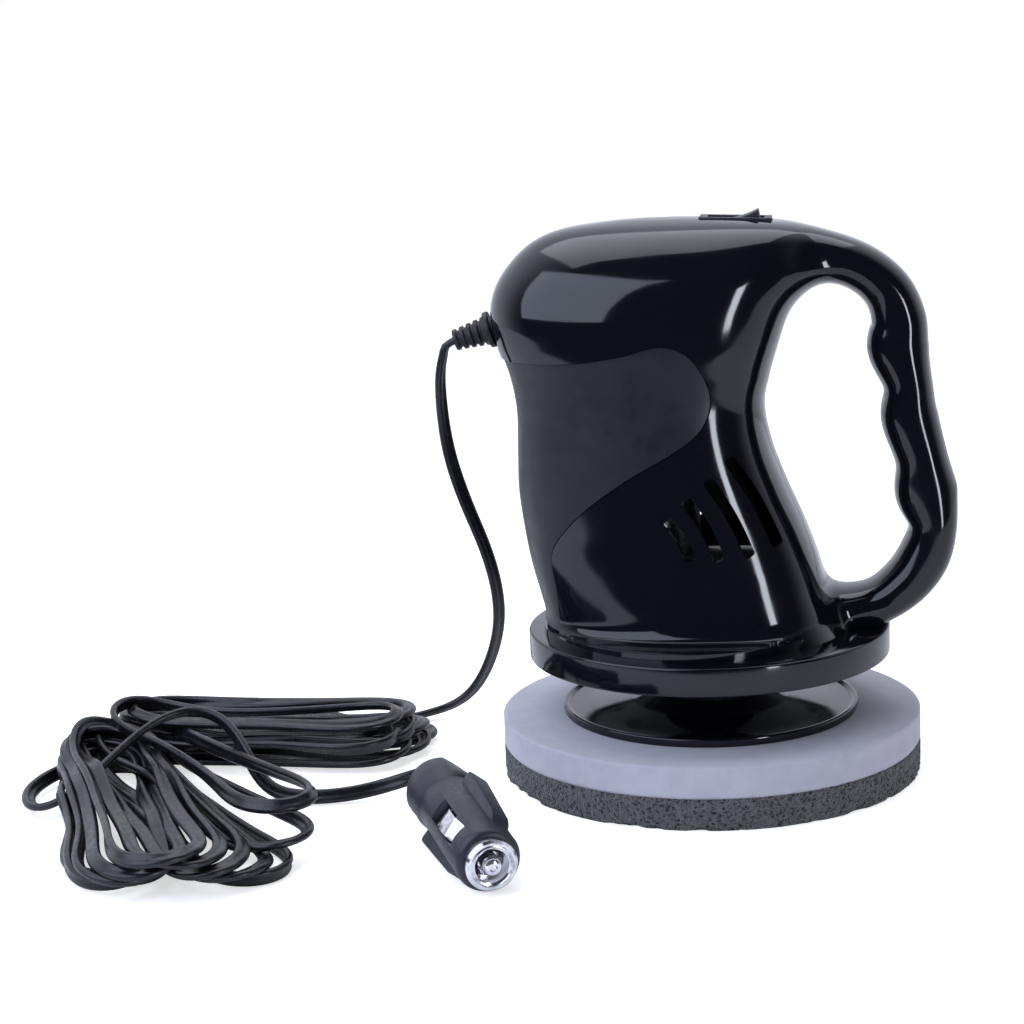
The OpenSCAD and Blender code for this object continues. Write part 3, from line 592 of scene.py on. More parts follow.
def settle(line, fixed, rounds=260):
    """Lets a line of cord settle: it keeps its length, lies on itself and the floor, and stays smooth."""
    rest = line.copy()
    step = np.linalg.norm(np.diff(line, axis=0), axis=1).mean()
    count = len(line)
    apart = 4.3
    pairs_i, pairs_j = np.triu_indices(count, 5)
    free = (~fixed)[:, None].astype(float)
    p = line.copy()
    for k in range(rounds):
        p[:, 2] -= 0.05 * free[:, 0]
        p += 0.012 * (rest - p) * free
        middle = (p[:-2] + p[2:]) / 2
        p[1:-1] += 0.2 * (middle - p[1:-1]) * free[1:-1]
        wide = (p[:-8] + p[8:]) / 2
        smooth = (4 * (p[3:-5] + p[5:-3]) / 2 - wide) / 3
        p[4:-4] += 0.1 * (smooth - p[4:-4]) * free[4:-4]
        if k % 10 == 0:
            gap = p[pairs_i] - p[pairs_j]
            close = (gap ** 2).sum(1) < (apart + 5) ** 2
            near_i, near_j = pairs_i[close], pairs_j[close]
        for _ in range(2):
            gap = p[near_i] - p[near_j]
            far = np.linalg.norm(gap, axis=1, keepdims=True) + 1e-9
            push = np.clip(apart - far, 0, None) / far * gap * 0.25
            shift = np.zeros_like(p)
            np.add.at(shift, near_i, push)
            np.add.at(shift, near_j, -push)
            size = np.linalg.norm(shift, axis=1, keepdims=True) + 1e-9
            p += shift * np.minimum(1, 1.2 / size) * free
        for start in (0, 1, 0, 1):
            a, b = p[start:-1:2], p[start + 1::2]
            gap = b - a
            far = np.linalg.norm(gap, axis=1, keepdims=True) + 1e-9
            fix = gap * (1 - step / far) / 2
            fa, fb = free[start:-1:2], free[start + 1::2]
            p[start:-1:2] += fix * fa * (1 + (1 - fb))
            p[start + 1::2] -= fix * fb * (1 + (1 - fa))
        p[:, 2] = np.where(fixed, p[:, 2], np.maximum(p[:, 2], 2.7))
    return p


def smooth_line(points, rounds, fixed):
    for _ in range(rounds):
        middle = (points[:-2] + points[2:]) / 2
        points[1:-1] += 0.5 * (middle - points[1:-1]) * (~fixed[1:-1])[:, None]
    return points


def cord_line():
    lead = catmull(LEAD, 160)
    tail = catmull(TAIL, 200)
    turns = turn_points()
    bridge = catmull([lead[-12], lead[-1], turns[0], turns[8]], 30)[10:21]
    last = catmull([turns[-8], turns[-1], tail[0], tail[12]], 30)[10:21]
    whole = even(np.vstack([lead, bridge[1:-1], turns, last[1:-1], tail]), STEP)
    fixed = np.zeros(len(whole), bool)
    fixed[:48] = True
    fixed[-70:] = True
    line = settle(whole, fixed)
    ends = np.zeros(len(line), bool)
    ends[:2] = ends[-2:] = True
    line = smooth_line(line, 4, ends)
    return catmull(line, 2 * (len(line) - 1))


def twin_section(count=18):
    """Half-width, half-thickness points of the flat twin cord, with its groove down the middle."""
    angle = np.arange(count) * 2 * math.pi / count
    across = CORD_W / 2 * np.cos(angle)
    lobe = np.sqrt(np.clip(1 - (np.abs(across) / (CORD_T / 2) - 1) ** 2, 0, 1))
    thick = CORD_T / 2 * np.maximum(lobe, 0.42) * np.sign(np.sin(angle))
    thick[np.abs(np.sin(angle)) < 1e-6] = 0
    return across, thick


def make_cord():
    line = cord_line()
    ahead = np.gradient(line, axis=0)
    ahead /= np.linalg.norm(ahead, axis=1, keepdims=True)
    side = np.zeros_like(line)
    side[0] = (0, 1, 0)
    for k in range(1, len(line)):
        s = side[k - 1] - ahead[k] * side[k - 1].dot(ahead[k])
        side[k] = s / np.linalg.norm(s)
    run = np.linspace(0, len(line) * STEP / 2, len(line))
    twist = 0.9 * np.sin(run / 130) + 0.8 * np.sin(run / 61 + 1) + 0.4 * np.sin(run / 29 + 2)
    twist *= np.clip(run / 60, 0, 1)
    normal = np.cross(ahead, side)
    side, normal = (side * np.cos(twist)[:, None] + normal * np.sin(twist)[:, None],
                    normal * np.cos(twist)[:, None] - side * np.sin(twist)[:, None])
    across, thick = twin_section()
    verts = (line[:, None] + side[:, None] * across[None, :, None]
             + normal[:, None] * thick[None, :, None]).reshape(-1, 3)
    verts[:, 2] = np.maximum(verts[:, 2], 0.05)
    faces = rings_to_faces(len(line), len(across))
    cord = make("cord", verts, faces, CORD, 60)
    place(cord, "housing", "cord", "cord_lead", "cord_hank", "cord_fan", "cord_tail")
    length = np.linalg.norm(np.diff(line, axis=0), axis=1).sum()
    print("cord length", round(length), "mm")
    return cord, line, length


cord, cord_path, cord_length = make_cord()

# ---------------------------------------------------------------- housing

FLANGE_R, FLANGE_LOW, FLANGE_TOP, STEP_TOP = 64.5, 43.0, 53.0, 56.0
FLANGE = [(0, FLANGE_LOW), (FLANGE_R, FLANGE_LOW), (FLANGE_R, FLANGE_TOP), (0, FLANGE_TOP)]
WALL = 2.6
GAP = 0.05  # half the parting line
COVER_SINK, COVER_T, COVER_GAP = 0.7, 2.2, 0.25
# height, front x, back x, half width
BODY = [(48, -57, 50, 45), (56, -58, 47, 44.5), (66, -60.5, 43, 43.5), (78, -63.5, 39.5, 42),
        (90, -65.5, 35, 40.5), (104, -67, 29, 39.5), (118, -66.8, 24, 39), (132, -66.6, 21.7, 38.5),
        (144, -68.5, 24, 38.8), (156, -72.3, 27.5, 39.8), (167, -74, 30, 40), (177, -71.3, 33, 38),
        (186, -64.5, 36, 32.5), (192, -56.5, 37, 25.5), (195.5, -46, 29, 18), (197.4, -30, 8, 9),
        (198, -18, -8, 1.5)]
# x, z, half thickness, half width
GRIP = [(12, 180, 14, 19), (30, 183.5, 11.5, 18), (44, 183, 8.6, 15.5), (56, 178.3, 8.2, 14),
        (64.5, 170.5, 8.6, 13), (68.3, 160.5, 9.4, 13), (68, 150.5, 10.6, 13), (71.3, 137.5, 8.5, 13),
        (71.8, 126, 9.9, 13), (75.8, 111.5, 9.2, 13), (77.4, 99.5, 10.9, 13), (79.6, 87.5, 8.5, 13),
        (76.6, 76.5, 9, 13), (69.8, 67, 8.6, 13), (59.5, 60, 7.8, 13.5), (46, 57.8, 7.8, 15),
        (30, 58, 7.5, 15)]
COVER_EDGE = [(-72, 151), (-60, 151), (-43, 151.8), (-26, 154.3), (-12, 157.3), (-2, 152.5), (4, 140),
              (1, 129), (-9, 121), (-25, 112), (-40, 101), (-50, 90), (-53, 82), (-51.5, 70), (-51, 56)]
VENTS = [(-11.4, 98.2, -3.4, 84.2), (-5.1, 105.2, 6.3, 84.2), (2.6, 111.6, 16.6, 84.9),
         (9.7, 118.4, 26, 87.6)]
SCREWS = [(-42, 176, 22), (31, 72, 26), (-42, 68, 22), (55, 178.8, 7), (73.6, 118.5, 7), (66.5, 64.6, 7)]

# x, z outline of a dark sheet behind the vents, painted shade: it stands in for the darkness inside the tool
# so that the openings read dark
VENT_SHADE_SHEET = [(-1, 81), (37, 81), (33.5, 90), (27.6, 104), (22.7, 118), (21, 126), (-1, 126)]

CROWN_START, CROWN_TOP, CROWN_REACH = 186.0, 198.0, 33.0

body_table = catmull(BODY, 600)
grip_table = catmull(GRIP, 320)


def smooth_min(a, b, k):
    """The lesser of two distances, with the corner between them filled in softly over k millimetres."""
    h = np.clip(k - np.abs(a - b), 0, None) / k
    return np.minimum(a, b) - h ** 3 * k / 6


def body_level(x, y, z):
    """1 on the body's skin at that height, less inside."""
    front, back, half = (np.interp(z, body_table[:, 0], body_table[:, c]) for c in (1, 2, 3))
    middle = front + 0.55 * (back - front)
    s = x - middle
    toward_back = 0.5 + 0.5 * np.tanh(s / 12)
    reach = np.where(s < 0, middle - front, back - middle)
    p = 2.2 + 0.6 * toward_back
    return (np.abs(s / reach) ** p + np.abs(y / half) ** p) ** (1 / p)


def body_distance(x, y, z, probe=0.4):
    """About the distance from the body's skin; past the crown it is held to be no less than it looks."""
    here = body_level(x, y, z)
    slope = sum((body_level(x + probe * a, y + probe * b, z + probe * c)
                 - body_level(x - probe * a, y - probe * b, z - probe * c)) ** 2
                for a, b, c in ((1, 0, 0), (0, 1, 0), (0, 0, 1)))
    near = (here - 1) / np.maximum(np.sqrt(slope) / (2 * probe), 0.004)
    column = (body_level(x, y, np.minimum(z, CROWN_START)) - 1) * CROWN_REACH - 2
    return np.where(z > CROWN_START, np.maximum(near, np.maximum(column, z - CROWN_TOP)), near)


def grip_line(x, z):
    """Distance across the grip's centre line and the grip's half thickness and half width there."""
    out = np.empty((3, len(x)))
    cx, cz = grip_table[:, 0], grip_table[:, 1]
    for start in range(0, len(x), 20000):
        part = slice(start, start + 20000)
        far = (x[part, None] - cx) ** 2 + (z[part, None] - cz) ** 2
        k = np.clip(far.argmin(1), 1, len(cx) - 2)
        rows = np.arange(len(k))
        before, here, after = far[rows, k - 1], far[rows, k], far[rows, k + 1]
        shift = np.clip(0.5 * (before - after) / np.maximum(before - 2 * here + after, 1e-9), -0.5, 0.5)
        at = k + shift
        out[0, part] = np.sqrt(np.maximum(here - 0.25 * (before - after) * shift, 0))
        for row, column in ((1, 2), (2, 3)):
            out[row, part] = np.interp(at, np.arange(len(cx)), grip_table[:, column])
    return out


def grip_distance(line, y):
    across, thick, wide = line
    level = (np.abs(across / thick) ** 2.4 + np.abs(y / wide) ** 2.4) ** (1 / 2.4)
    size = 1 / np.sqrt((np.maximum(across, 0.01) / thick ** 2) ** 2 + (y / wide ** 2) ** 2 + 1e-6)
    return (level - 1) * level * size


def step_distance(x, y, z, line):
    """The raised step, kept a little inside its own edge so that only its fillet shows."""
    round_part = (np.hypot((x + 6) / 53, y / 58) - 1) * 53 + 2.2
    arm = np.maximum(np.abs(x - 48) - 13.5, np.abs(y) - 11) + 2.2
    return np.maximum(np.minimum(round_part, arm), z - STEP_TOP + 0.04)


def skin_distance(x, y, z, line):
    blend = np.interp(z, [60, 100, 165, 180, 188, 194], [10, 10, 22, 26, 9, 2])
    whole = smooth_min(body_distance(x, y, z), grip_distance(line, y), blend)
    return smooth_min(whole, step_distance(x, y, z, line), 9)


def surface_net(level, origin, cell):
    """Quads over the zero level of a 3D grid, one corner in each cell that the surface crosses."""
    inside = level < 0
    corners = [(i, j, k) for i in (0, 1) for j in (0, 1) for k in (0, 1)]
    shape = tuple(n - 1 for n in level.shape)
    count = sum(inside[i:i + shape[0], j:j + shape[1], k:k + shape[2]].astype(int) for i, j, k in corners)
    crossed = (count > 0) & (count < 8)
    index = -np.ones(shape, int)
    index[crossed] = np.arange(crossed.sum())
    cells = np.argwhere(crossed)
    total = np.zeros((len(cells), 3))
    hits = np.zeros((len(cells), 1))
    for a in corners:
        for axis in range(3):
            if a[axis]:
                continue
            b = list(a)
            b[axis] = 1
            va = level[tuple((cells + a).T)]
            vb = level[tuple((cells + b).T)]
            cut = (va < 0) != (vb < 0)
            t = np.where(cut, va / np.where(cut, va - vb, 1), 0)[:, None]
            point = np.array(a, float) + np.eye(3)[axis] * t
            total += np.where(cut[:, None], point, 0)
            hits += cut[:, None]
    verts = origin + (cells + total / hits) * cell
    faces = []
    for axis in range(3):
        u, v = (axis + 1) % 3, (axis + 2) % 3
        low = [slice(1, -1)] * 3
        low[axis] = slice(0, -1)
        high = list(low)
        high[axis] = slice(1, None)
        change = inside[tuple(low)].astype(int) - inside[tuple(high)].astype(int)
        where = np.argwhere(change != 0)
        sign = change[tuple(where.T)]
        offset = np.ones(3, int)
        offset[axis] = 0
        where = where + offset
        ring = []
        for du, dv in ((0, 0), (1, 0), (1, 1), (0, 1)):
            at = where.copy()
            at[:, u] -= du
            at[:, v] -= dv
            ring.append(index[tuple(at.T)])
        ring = np.stack(ring, 1)
        ring[sign < 0] = ring[sign < 0][:, ::-1]
        faces.append(ring)
    return verts, np.vstack(faces)


def relax(verts, faces, rounds):
    """Taubin smoothing: evens the quads out without shrinking the shape."""
    edges = np.vstack([faces[:, [0, 1]], faces[:, [1, 2]], faces[:, [2, 3]], faces[:, [3, 0]]])
    edges = np.vstack([edges, edges[:, ::-1]])
    degree = np.bincount(edges[:, 0], minlength=len(verts))[:, None]
    for k in range(2 * rounds):
        mean = np.stack([np.bincount(edges[:, 0], verts[edges[:, 1], c], len(verts)) for c in range(3)], 1)
        verts = verts + (0.5 if k % 2 == 0 else -0.52) * (mean / degree - verts)
    return verts


CELL = 1.0


class HalfField:
    """Distance from the moulded skin on a grid over one half of the tool, y from -2 up."""

    def __init__(self):
        self.origin = np.array([-80.0, -2.0, 49.0])
        top = np.array([94.0, 58.0, 202.0])
        self.count = np.ceil((top - self.origin) / CELL).astype(int)
        x, y, z = (self.origin[c] + CELL * np.arange(self.count[c]) for c in range(3))
        self.x, self.y, self.z = x, y, z
        grid_x, grid_z = np.meshgrid(x, z, indexing="ij")
        line = grip_line(grid_x.ravel(), grid_z.ravel()).reshape(3, len(x), 1, len(z))
        gx, gy, gz = x[:, None, None], y[None, :, None], z[None, None, :]
        shape = tuple(self.count)
        gx, gy, gz = (np.broadcast_to(g, shape) for g in (gx, gy, gz))
        line = [np.broadcast_to(part, shape) for part in line]
        self.level = skin_distance(gx, gy, gz, line)
        self.side = np.broadcast_to(-gy - 1, shape)
        self.bottom = np.broadcast_to(50 - gz, shape)

    def mesh(self, name, depth=0.0, rounds=6, project=False):
        """The skin sunk by depth, closed off past the parting plane and below the flange's top."""
        level = np.maximum(np.maximum(self.level + depth, self.side), self.bottom)
        verts, faces = surface_net(level, self.origin, CELL)
        if project:
            verts = self.project(verts, depth)
        verts = relax(verts, faces, rounds)
        if project:
            verts = self.project(verts, depth)
        return make(name, verts, faces)

    def project(self, verts, depth):
        """Moves the points of the skin itself exactly onto it."""
        probe = 0.15
        skin = (verts[:, 1] > -0.6) & (verts[:, 2] > 50.6)
        p = verts[skin]
        for _ in range(2):
            here = self.at(p) + depth
            slope = np.stack([(self.at(p + probe * axis) - self.at(p - probe * axis)) / (2 * probe)
                              for axis in np.eye(3)], 1)
            size = np.maximum((slope ** 2).sum(1, keepdims=True), 0.05)
            p = p - np.clip(here[:, None] / size, -0.6, 0.6) * slope
        verts = verts.copy()
        verts[skin] = p
        return verts

    @staticmethod
    def at(p):
        x, y, z = p.T
        return skin_distance(x, y, z, grip_line(x, z))


def offset_outline(points, by):
    """A closed outline moved outwards by a distance; it runs anticlockwise or clockwise alike."""
    p = np.array(points, float)
    ahead = np.roll(p, -1, 0) - np.roll(p, 1, 0)
    normal = np.stack([ahead[:, 1], -ahead[:, 0]], 1) / np.linalg.norm(ahead, axis=1, keepdims=True)
    return p + normal * by * math.copysign(1, turning(p))


def cover_outline(grow):
    edge = catmull(COVER_EDGE, 84)
    return offset_outline(np.vstack([[(-100, 151)], edge, [(-100, 50)]]), grow)


def vent_outline(vent, width=3.8, bow=0.9, corner=1.1):
    top, bottom = np.array(vent[:2]), np.array(vent[2:])
    run = bottom - top
    length = np.linalg.norm(run)
    normal = np.array([-run[1], run[0]]) / length
    along = run / length
    points = []
    for side in (1, -1):
        for k in range(9):
            t = k / 8 if side > 0 else 1 - k / 8
            s = corner + t * (length - 2 * corner)
            points.append(top + along * s + normal * (bow * math.sin(math.pi * t) + side * width / 2))
        end = bottom if side > 0 else top
        turn = along * side
        for angle in (30, 60, 90, 120, 150):
            c, d = math.cos(math.radians(angle)), math.sin(math.radians(angle))
            inset = width / 2 - corner
            reach = math.copysign(max(abs(c) * corner, 0), c) + math.copysign(inset, c) * (abs(c) > 1e-6)
            points.append(end + normal * side * reach + turn * (d * corner - corner))
    return points


def step_outline():
    """The step round the body, with an arm out to the handle's root."""
    round_part = prism("step_round", [(-6 + 53 * math.cos(a), 58 * math.sin(a))
                                      for a in np.linspace(0, 2 * math.pi, 160, endpoint=False)],
                       FLANGE_TOP - 1, STEP_TOP)
    arm = prism("step_arm", [(30, -11), (61.5, -11), (61.5, 11), (30, 11)], FLANGE_TOP - 1, STEP_TOP)
    return combine(round_part, "UNION", arm)


def switch_frame():
    return (Matrix.Translation((12.8, 0, 196.5)) @ Matrix.Rotation(math.radians(2.6), 4, "Y"))


def relief_frame():
    return (Matrix.Translation((-74, 0, 160.6)) @ Matrix.Rotation(math.radians(-105.6), 4, "Y"))


def body_loft(name, inset, low, high):
    """The body's form drawn in by inset, as one closed loft; it shapes what lies under the skin."""
    rows = [row for row in catmull(BODY, 60) if low <= row[0] <= high and row[3] > inset + 2]
    angle = np.arange(72) * 2 * math.pi / 72
    c, s = np.cos(angle), np.sin(angle)
    verts = []
    for z, front, back, half in rows:
        front, back = front + inset, back - inset
        middle = front + 0.55 * (back - front)
        reach = np.where(c < 0, middle - front, back - middle)
        p = 2 / np.where(c < 0, 2.2, 2.8)
        drop = inset * max(0, (z - 165) / 33)
        x = middle + reach * np.sign(c) * np.abs(c) ** p
        y = (half - inset) * np.sign(s) * np.abs(s) ** p
        verts += [(a, b, z - drop) for a, b in zip(x, y)]
    return make(name, verts, rings_to_faces(len(rows), 72))


def cavity_form():
    """The room inside the shell: close to the skin, further in behind the front cover."""
    cavity = body_loft("cavity", WALL, 50, 196)
    behind = prism("behind", cover_outline(3.5), -70, 70, "y")
    combine(behind, "DIFFERENCE", body_loft("deep", COVER_SINK + COVER_T + 1.7, 48, 197))
    combine(cavity, "DIFFERENCE", behind)
    under = lathe("under", [(0, 40), (61.5, 40), (61.5, 50.4), (0, 50.4)], 128)
    throat = lathe("throat", [(0, 49), (38, 49), (38, 58), (0, 58)], 96)
    moved(throat, Matrix.Translation((-6, 0, 0)) @ Matrix.Diagonal((1.2, 1, 1, 1)))
    return combine(combine(cavity, "UNION", under), "UNION", throat)


def half_tools():
    """What is cut out of a housing half: cavity, cover seat, vents, switch seat and cord hole."""
    pocket = prism("pocket", cover_outline(COVER_GAP), -70, 70, "y")
    combine(pocket, "DIFFERENCE", body_loft("inner", COVER_SINK + COVER_T + 0.1, 46, 199))
    tools = [cavity_form(), pocket]
    tools += [prism("vent", vent_outline(v), -60, 60, "y") for v in VENTS]
    seat = block("seat", (-12.7, -7.7, -1.4), (12.7, 7.7, 10))
    well = block("well", (-11, -6.7, -12), (11, 6.7, 10))
    tools += [moved(seat, switch_frame()), moved(well, switch_frame())]
    hole = lathe("hole", [(0, -14), (4.3, -14), (4.3, 4), (0, 4)], 48)
    tools.append(moved(hole, relief_frame()))
    return tools


def housing_half(field):
    """The +Y half: moulded skin, flange and step, hollow inside, with its openings."""
    half = field.mesh("housing_right_skin", project=True)
    flange = lathe("flange", rounded(FLANGE, 0.9), 192)
    combine(half, "UNION", flange)
    combine(half, "UNION", step_outline())
    for tool in half_tools():
        combine(half, "DIFFERENCE", tool)
    side = block("side", (-150, GAP, 0), (150, 100, 260))
    combine(half, "INTERSECT", side)
    # the dark sheet behind the vents is painted shade that makes the openings read dark
    return combine(half, "UNION", prism("vent_shade_sheet", VENT_SHADE_SHEET, GAP, 1.6, "y"))


def screw_pockets(half):
    for x, z, seat in SCREWS:
        pocket = lathe("pocket", [(0, 0), (3.2, 0), (3.2, 60), (0, 60)], 40)
        moved(pocket, Matrix.Translation((x, seat, z)) @ Matrix.Rotation(math.radians(-90), 4, "X"))
        combine(half, "DIFFERENCE", pocket)
    return half


def make_housing():
    field = HalfField()
    right = housing_half(field)
    right.name = "housing_right_shell"
    left = moved(copy_of(right, "housing_left_shell"), Matrix.Scale(-1, 4, (0, 1, 0)))
    screw_pockets(right)
    for obj, node in ((right, "housing_right"), (left, "housing_left")):
        finish_mesh(obj, GLOSS, 32)
        place(obj, "housing", "housing", node)
    panel = field.mesh("cover_panel", COVER_SINK, project=True)
    combine(panel, "DIFFERENCE", body_loft("cover_inner", COVER_SINK + COVER_T, 46, 199))
    combine(panel, "INTERSECT", prism("cover_limits", cover_outline(0), -60, 60, "y"))
    combine(panel, "INTERSECT", block("cover_base", (-100, 0, STEP_TOP + 0.3), (100, 60, 170)))
    mirror_whole(panel)
    finish_mesh(panel, COVER, 35)
    place(panel, "housing", "cover", "front_cover")


def mirror_whole(obj):
    """Adds the mirror image across the parting plane and welds the two together there."""
    mesh = bmesh.new()
    mesh.from_mesh(obj.data)
    flat = [f for f in mesh.faces if all(abs(v.co.y) < 1e-6 for v in f.verts)]
    bmesh.ops.delete(mesh, geom=flat, context="FACES_ONLY")
    twin = bmesh.ops.duplicate(mesh, geom=mesh.verts[:] + mesh.edges[:] + mesh.faces[:])["geom"]
    verts = [g for g in twin if isinstance(g, bmesh.types.BMVert)]
    faces = [g for g in twin if isinstance(g, bmesh.types.BMFace)]
    for v in verts:
        v.co.y = -v.co.y
    bmesh.ops.reverse_faces(mesh, faces=faces)
    bmesh.ops.remove_doubles(mesh, verts=[v for v in mesh.verts if abs(v.co.y) < 1e-6], dist=1e-6)
    mesh.to_mesh(obj.data)
    mesh.free()
    return obj


make_housing()

# ---------------------------------------------------------------- pad and backing plate

PAD_R, COARSE_TOP, PAD_TOP = 75.0, 11.0, 22.0


def hash_noise(points, size, seed):
    """Smooth repeatable noise from -1 to 1 at points, with features about size millimetres across."""
    q = points / size
    cell = np.floor(q).astype(int)
    f = q - cell
    f = f * f * (3 - 2 * f)
    total = np.zeros(len(points))
    for i in (0, 1):
        for j in (0, 1):
            for k in (0, 1):
                n = (cell[:, 0] + i) * 73856093 ^ (cell[:, 1] + j) * 19349663 ^ (cell[:, 2] + k) * 83492791
                n = (n ^ seed * 2654435761) & 0xFFFFFFFF
                n = ((n ^ (n >> 15)) * 2246822519) & 0xFFFFFFFF
                n = ((n ^ (n >> 13)) * 3266489917) & 0xFFFFFFFF
                value = (n ^ (n >> 16)) / 0xFFFFFFFF * 2 - 1
                weight = np.where(i, f[:, 0], 1 - f[:, 0]) * np.where(j, f[:, 1], 1 - f[:, 1])
                total += value * weight * np.where(k, f[:, 2], 1 - f[:, 2])
    return total


TEAR_RISE = 3.5  # how far up its wall a foam disc is torn


def foam_profile(low, high, wall_step):
    """(r, z) points of a foam disc: over its top, down its wall and across its underside."""
    top = [(r, high) for r in (12, 24, 36, 46, 54, 61, 67, 71, 73.4, 74.4)]
    wall = [(PAD_R, z) for z in np.arange(high - 0.35, low + 0.2, -wall_step)]
    bottom = [(r, low) for r in (74.3, 73, 70, 62, 48, 30, 14)]
    return np.array(top + wall + bottom, float)


def foam_wear(points, r, low, rough, torn_edge):
    """How far out and how far up each point moves: pores in the wall, and tears along the lower edge."""
    z = points[:, 2]
    on_wall = r > PAD_R - 0.3
    pores = hash_noise(points, 2.3, 3) * 0.6 + hash_noise(points, 1.1, 5) * 0.5
    out = -np.clip(pores + 0.25, 0, None) * rough * on_wall
    near_low = np.clip(1 - (z - low) / TEAR_RISE, 0, 1) * on_wall
    tear = np.clip(hash_noise(points, 6, 11) + 0.35 * hash_noise(points, 2.5, 12) - 0.05, 0, None)
    edge = (r > 72) & (z <= low + 0.01)
    out -= near_low * tear * torn_edge
    out -= edge * tear * torn_edge
    return out, near_low * tear * torn_edge * 0.35


def foam_disc(name, low, high, material, side_step, rough, torn_edge):
    """A cut foam disc; its wall and lower edge are displaced by rough and torn_edge millimetres."""
    sides = int(2 * math.pi * PAD_R / side_step)
    profile = foam_profile(low, high, side_step * 0.8)
    angle = np.arange(sides) * 2 * math.pi / sides
    r, z = np.repeat(profile[:, 0], sides), np.repeat(profile[:, 1], sides)
    a = np.tile(angle, len(profile))
    points = np.stack([r * np.cos(a), r * np.sin(a), z], 1)
    out, up = foam_wear(points, r, low, rough, torn_edge)
    points += np.stack([out * np.cos(a), out * np.sin(a), up], 1)
    n = len(profile)
    verts = np.vstack([points, [(0, 0, high), (0, 0, low)]])
    faces = []
    for ring in range(n - 1):
        here, there = ring * sides, (ring + 1) * sides
        faces += [(here + i, there + i, there + (i + 1) % sides, here + (i + 1) % sides)
                  for i in range(sides)]
    last = (n - 1) * sides
    faces += [(n * sides, i, (i + 1) % sides) for i in range(sides)]
    faces += [(n * sides + 1, last + (i + 1) % sides, last + i) for i in range(sides)]
    return make(name, verts, faces, material)


def make_pad():
    step = 0.75
    fine = foam_disc("foam_fine_pad", COARSE_TOP, PAD_TOP, FINE_FOAM, 1.5, 0.12, 0.0)
    place(fine, "spindle", "foam_fine", "foam_fine")
    coarse = foam_disc("foam_coarse_pad", 0.0, COARSE_TOP, COARSE_FOAM, step, 0.9, 2.2)
    place(coarse, "spindle", "foam_coarse", "foam_coarse")


def make_plate():
    """Glossy dished plate with a raised rim and a hub with a bore for the spindle."""
    ring = [(5, 22), (53, 22), (53, 25), (51.4, 25), (50.6, 23.9), (44, 24.2), (28, 25.6), (20, 28.5),
            (17.2, 36.6), (16, 38), (4.05, 38), (4.05, 25), (2.6, 25), (2.6, 24.4), (5, 24.4), (5, 22)]
    shape = rounded(ring, 0.7)[:-1]
    plate = lathe("backing_plate_turned", shape[::-1], 160, GLOSS, 35)
    place(plate, "spindle", "plate", "backing_plate")


# ---------------------------------------------------------------- plug

PLUG_NOSE, PLUG_YAW, PLUG_PITCH, PLUG_ROLL = (-62.5, -135.5, 10.6), -67, 3.6, 52
PLUG_R, PLUG_L, BARREL_L = 10.5, 70.5, 50


def plug_frame():
    """The plug's own frame: X out of the nose, the contacts facing Z and -Z."""
    turn = (Matrix.Rotation(math.radians(PLUG_YAW), 4, "Z")
            @ Matrix.Rotation(math.radians(PLUG_PITCH), 4, "Y")
            @ Matrix.Rotation(math.radians(PLUG_ROLL), 4, "X"))
    return Matrix.Translation(PLUG_NOSE) @ turn


def bar(name, profile, sides=96, material=None, sharp=35):
    """A solid turned about the plug's own X axis, from (x, radius) points."""
    obj = lathe(name, [(r, x) for x, r in profile], sides, material, sharp)
    return moved(obj, Matrix.Rotation(math.radians(90), 4, "Y"))


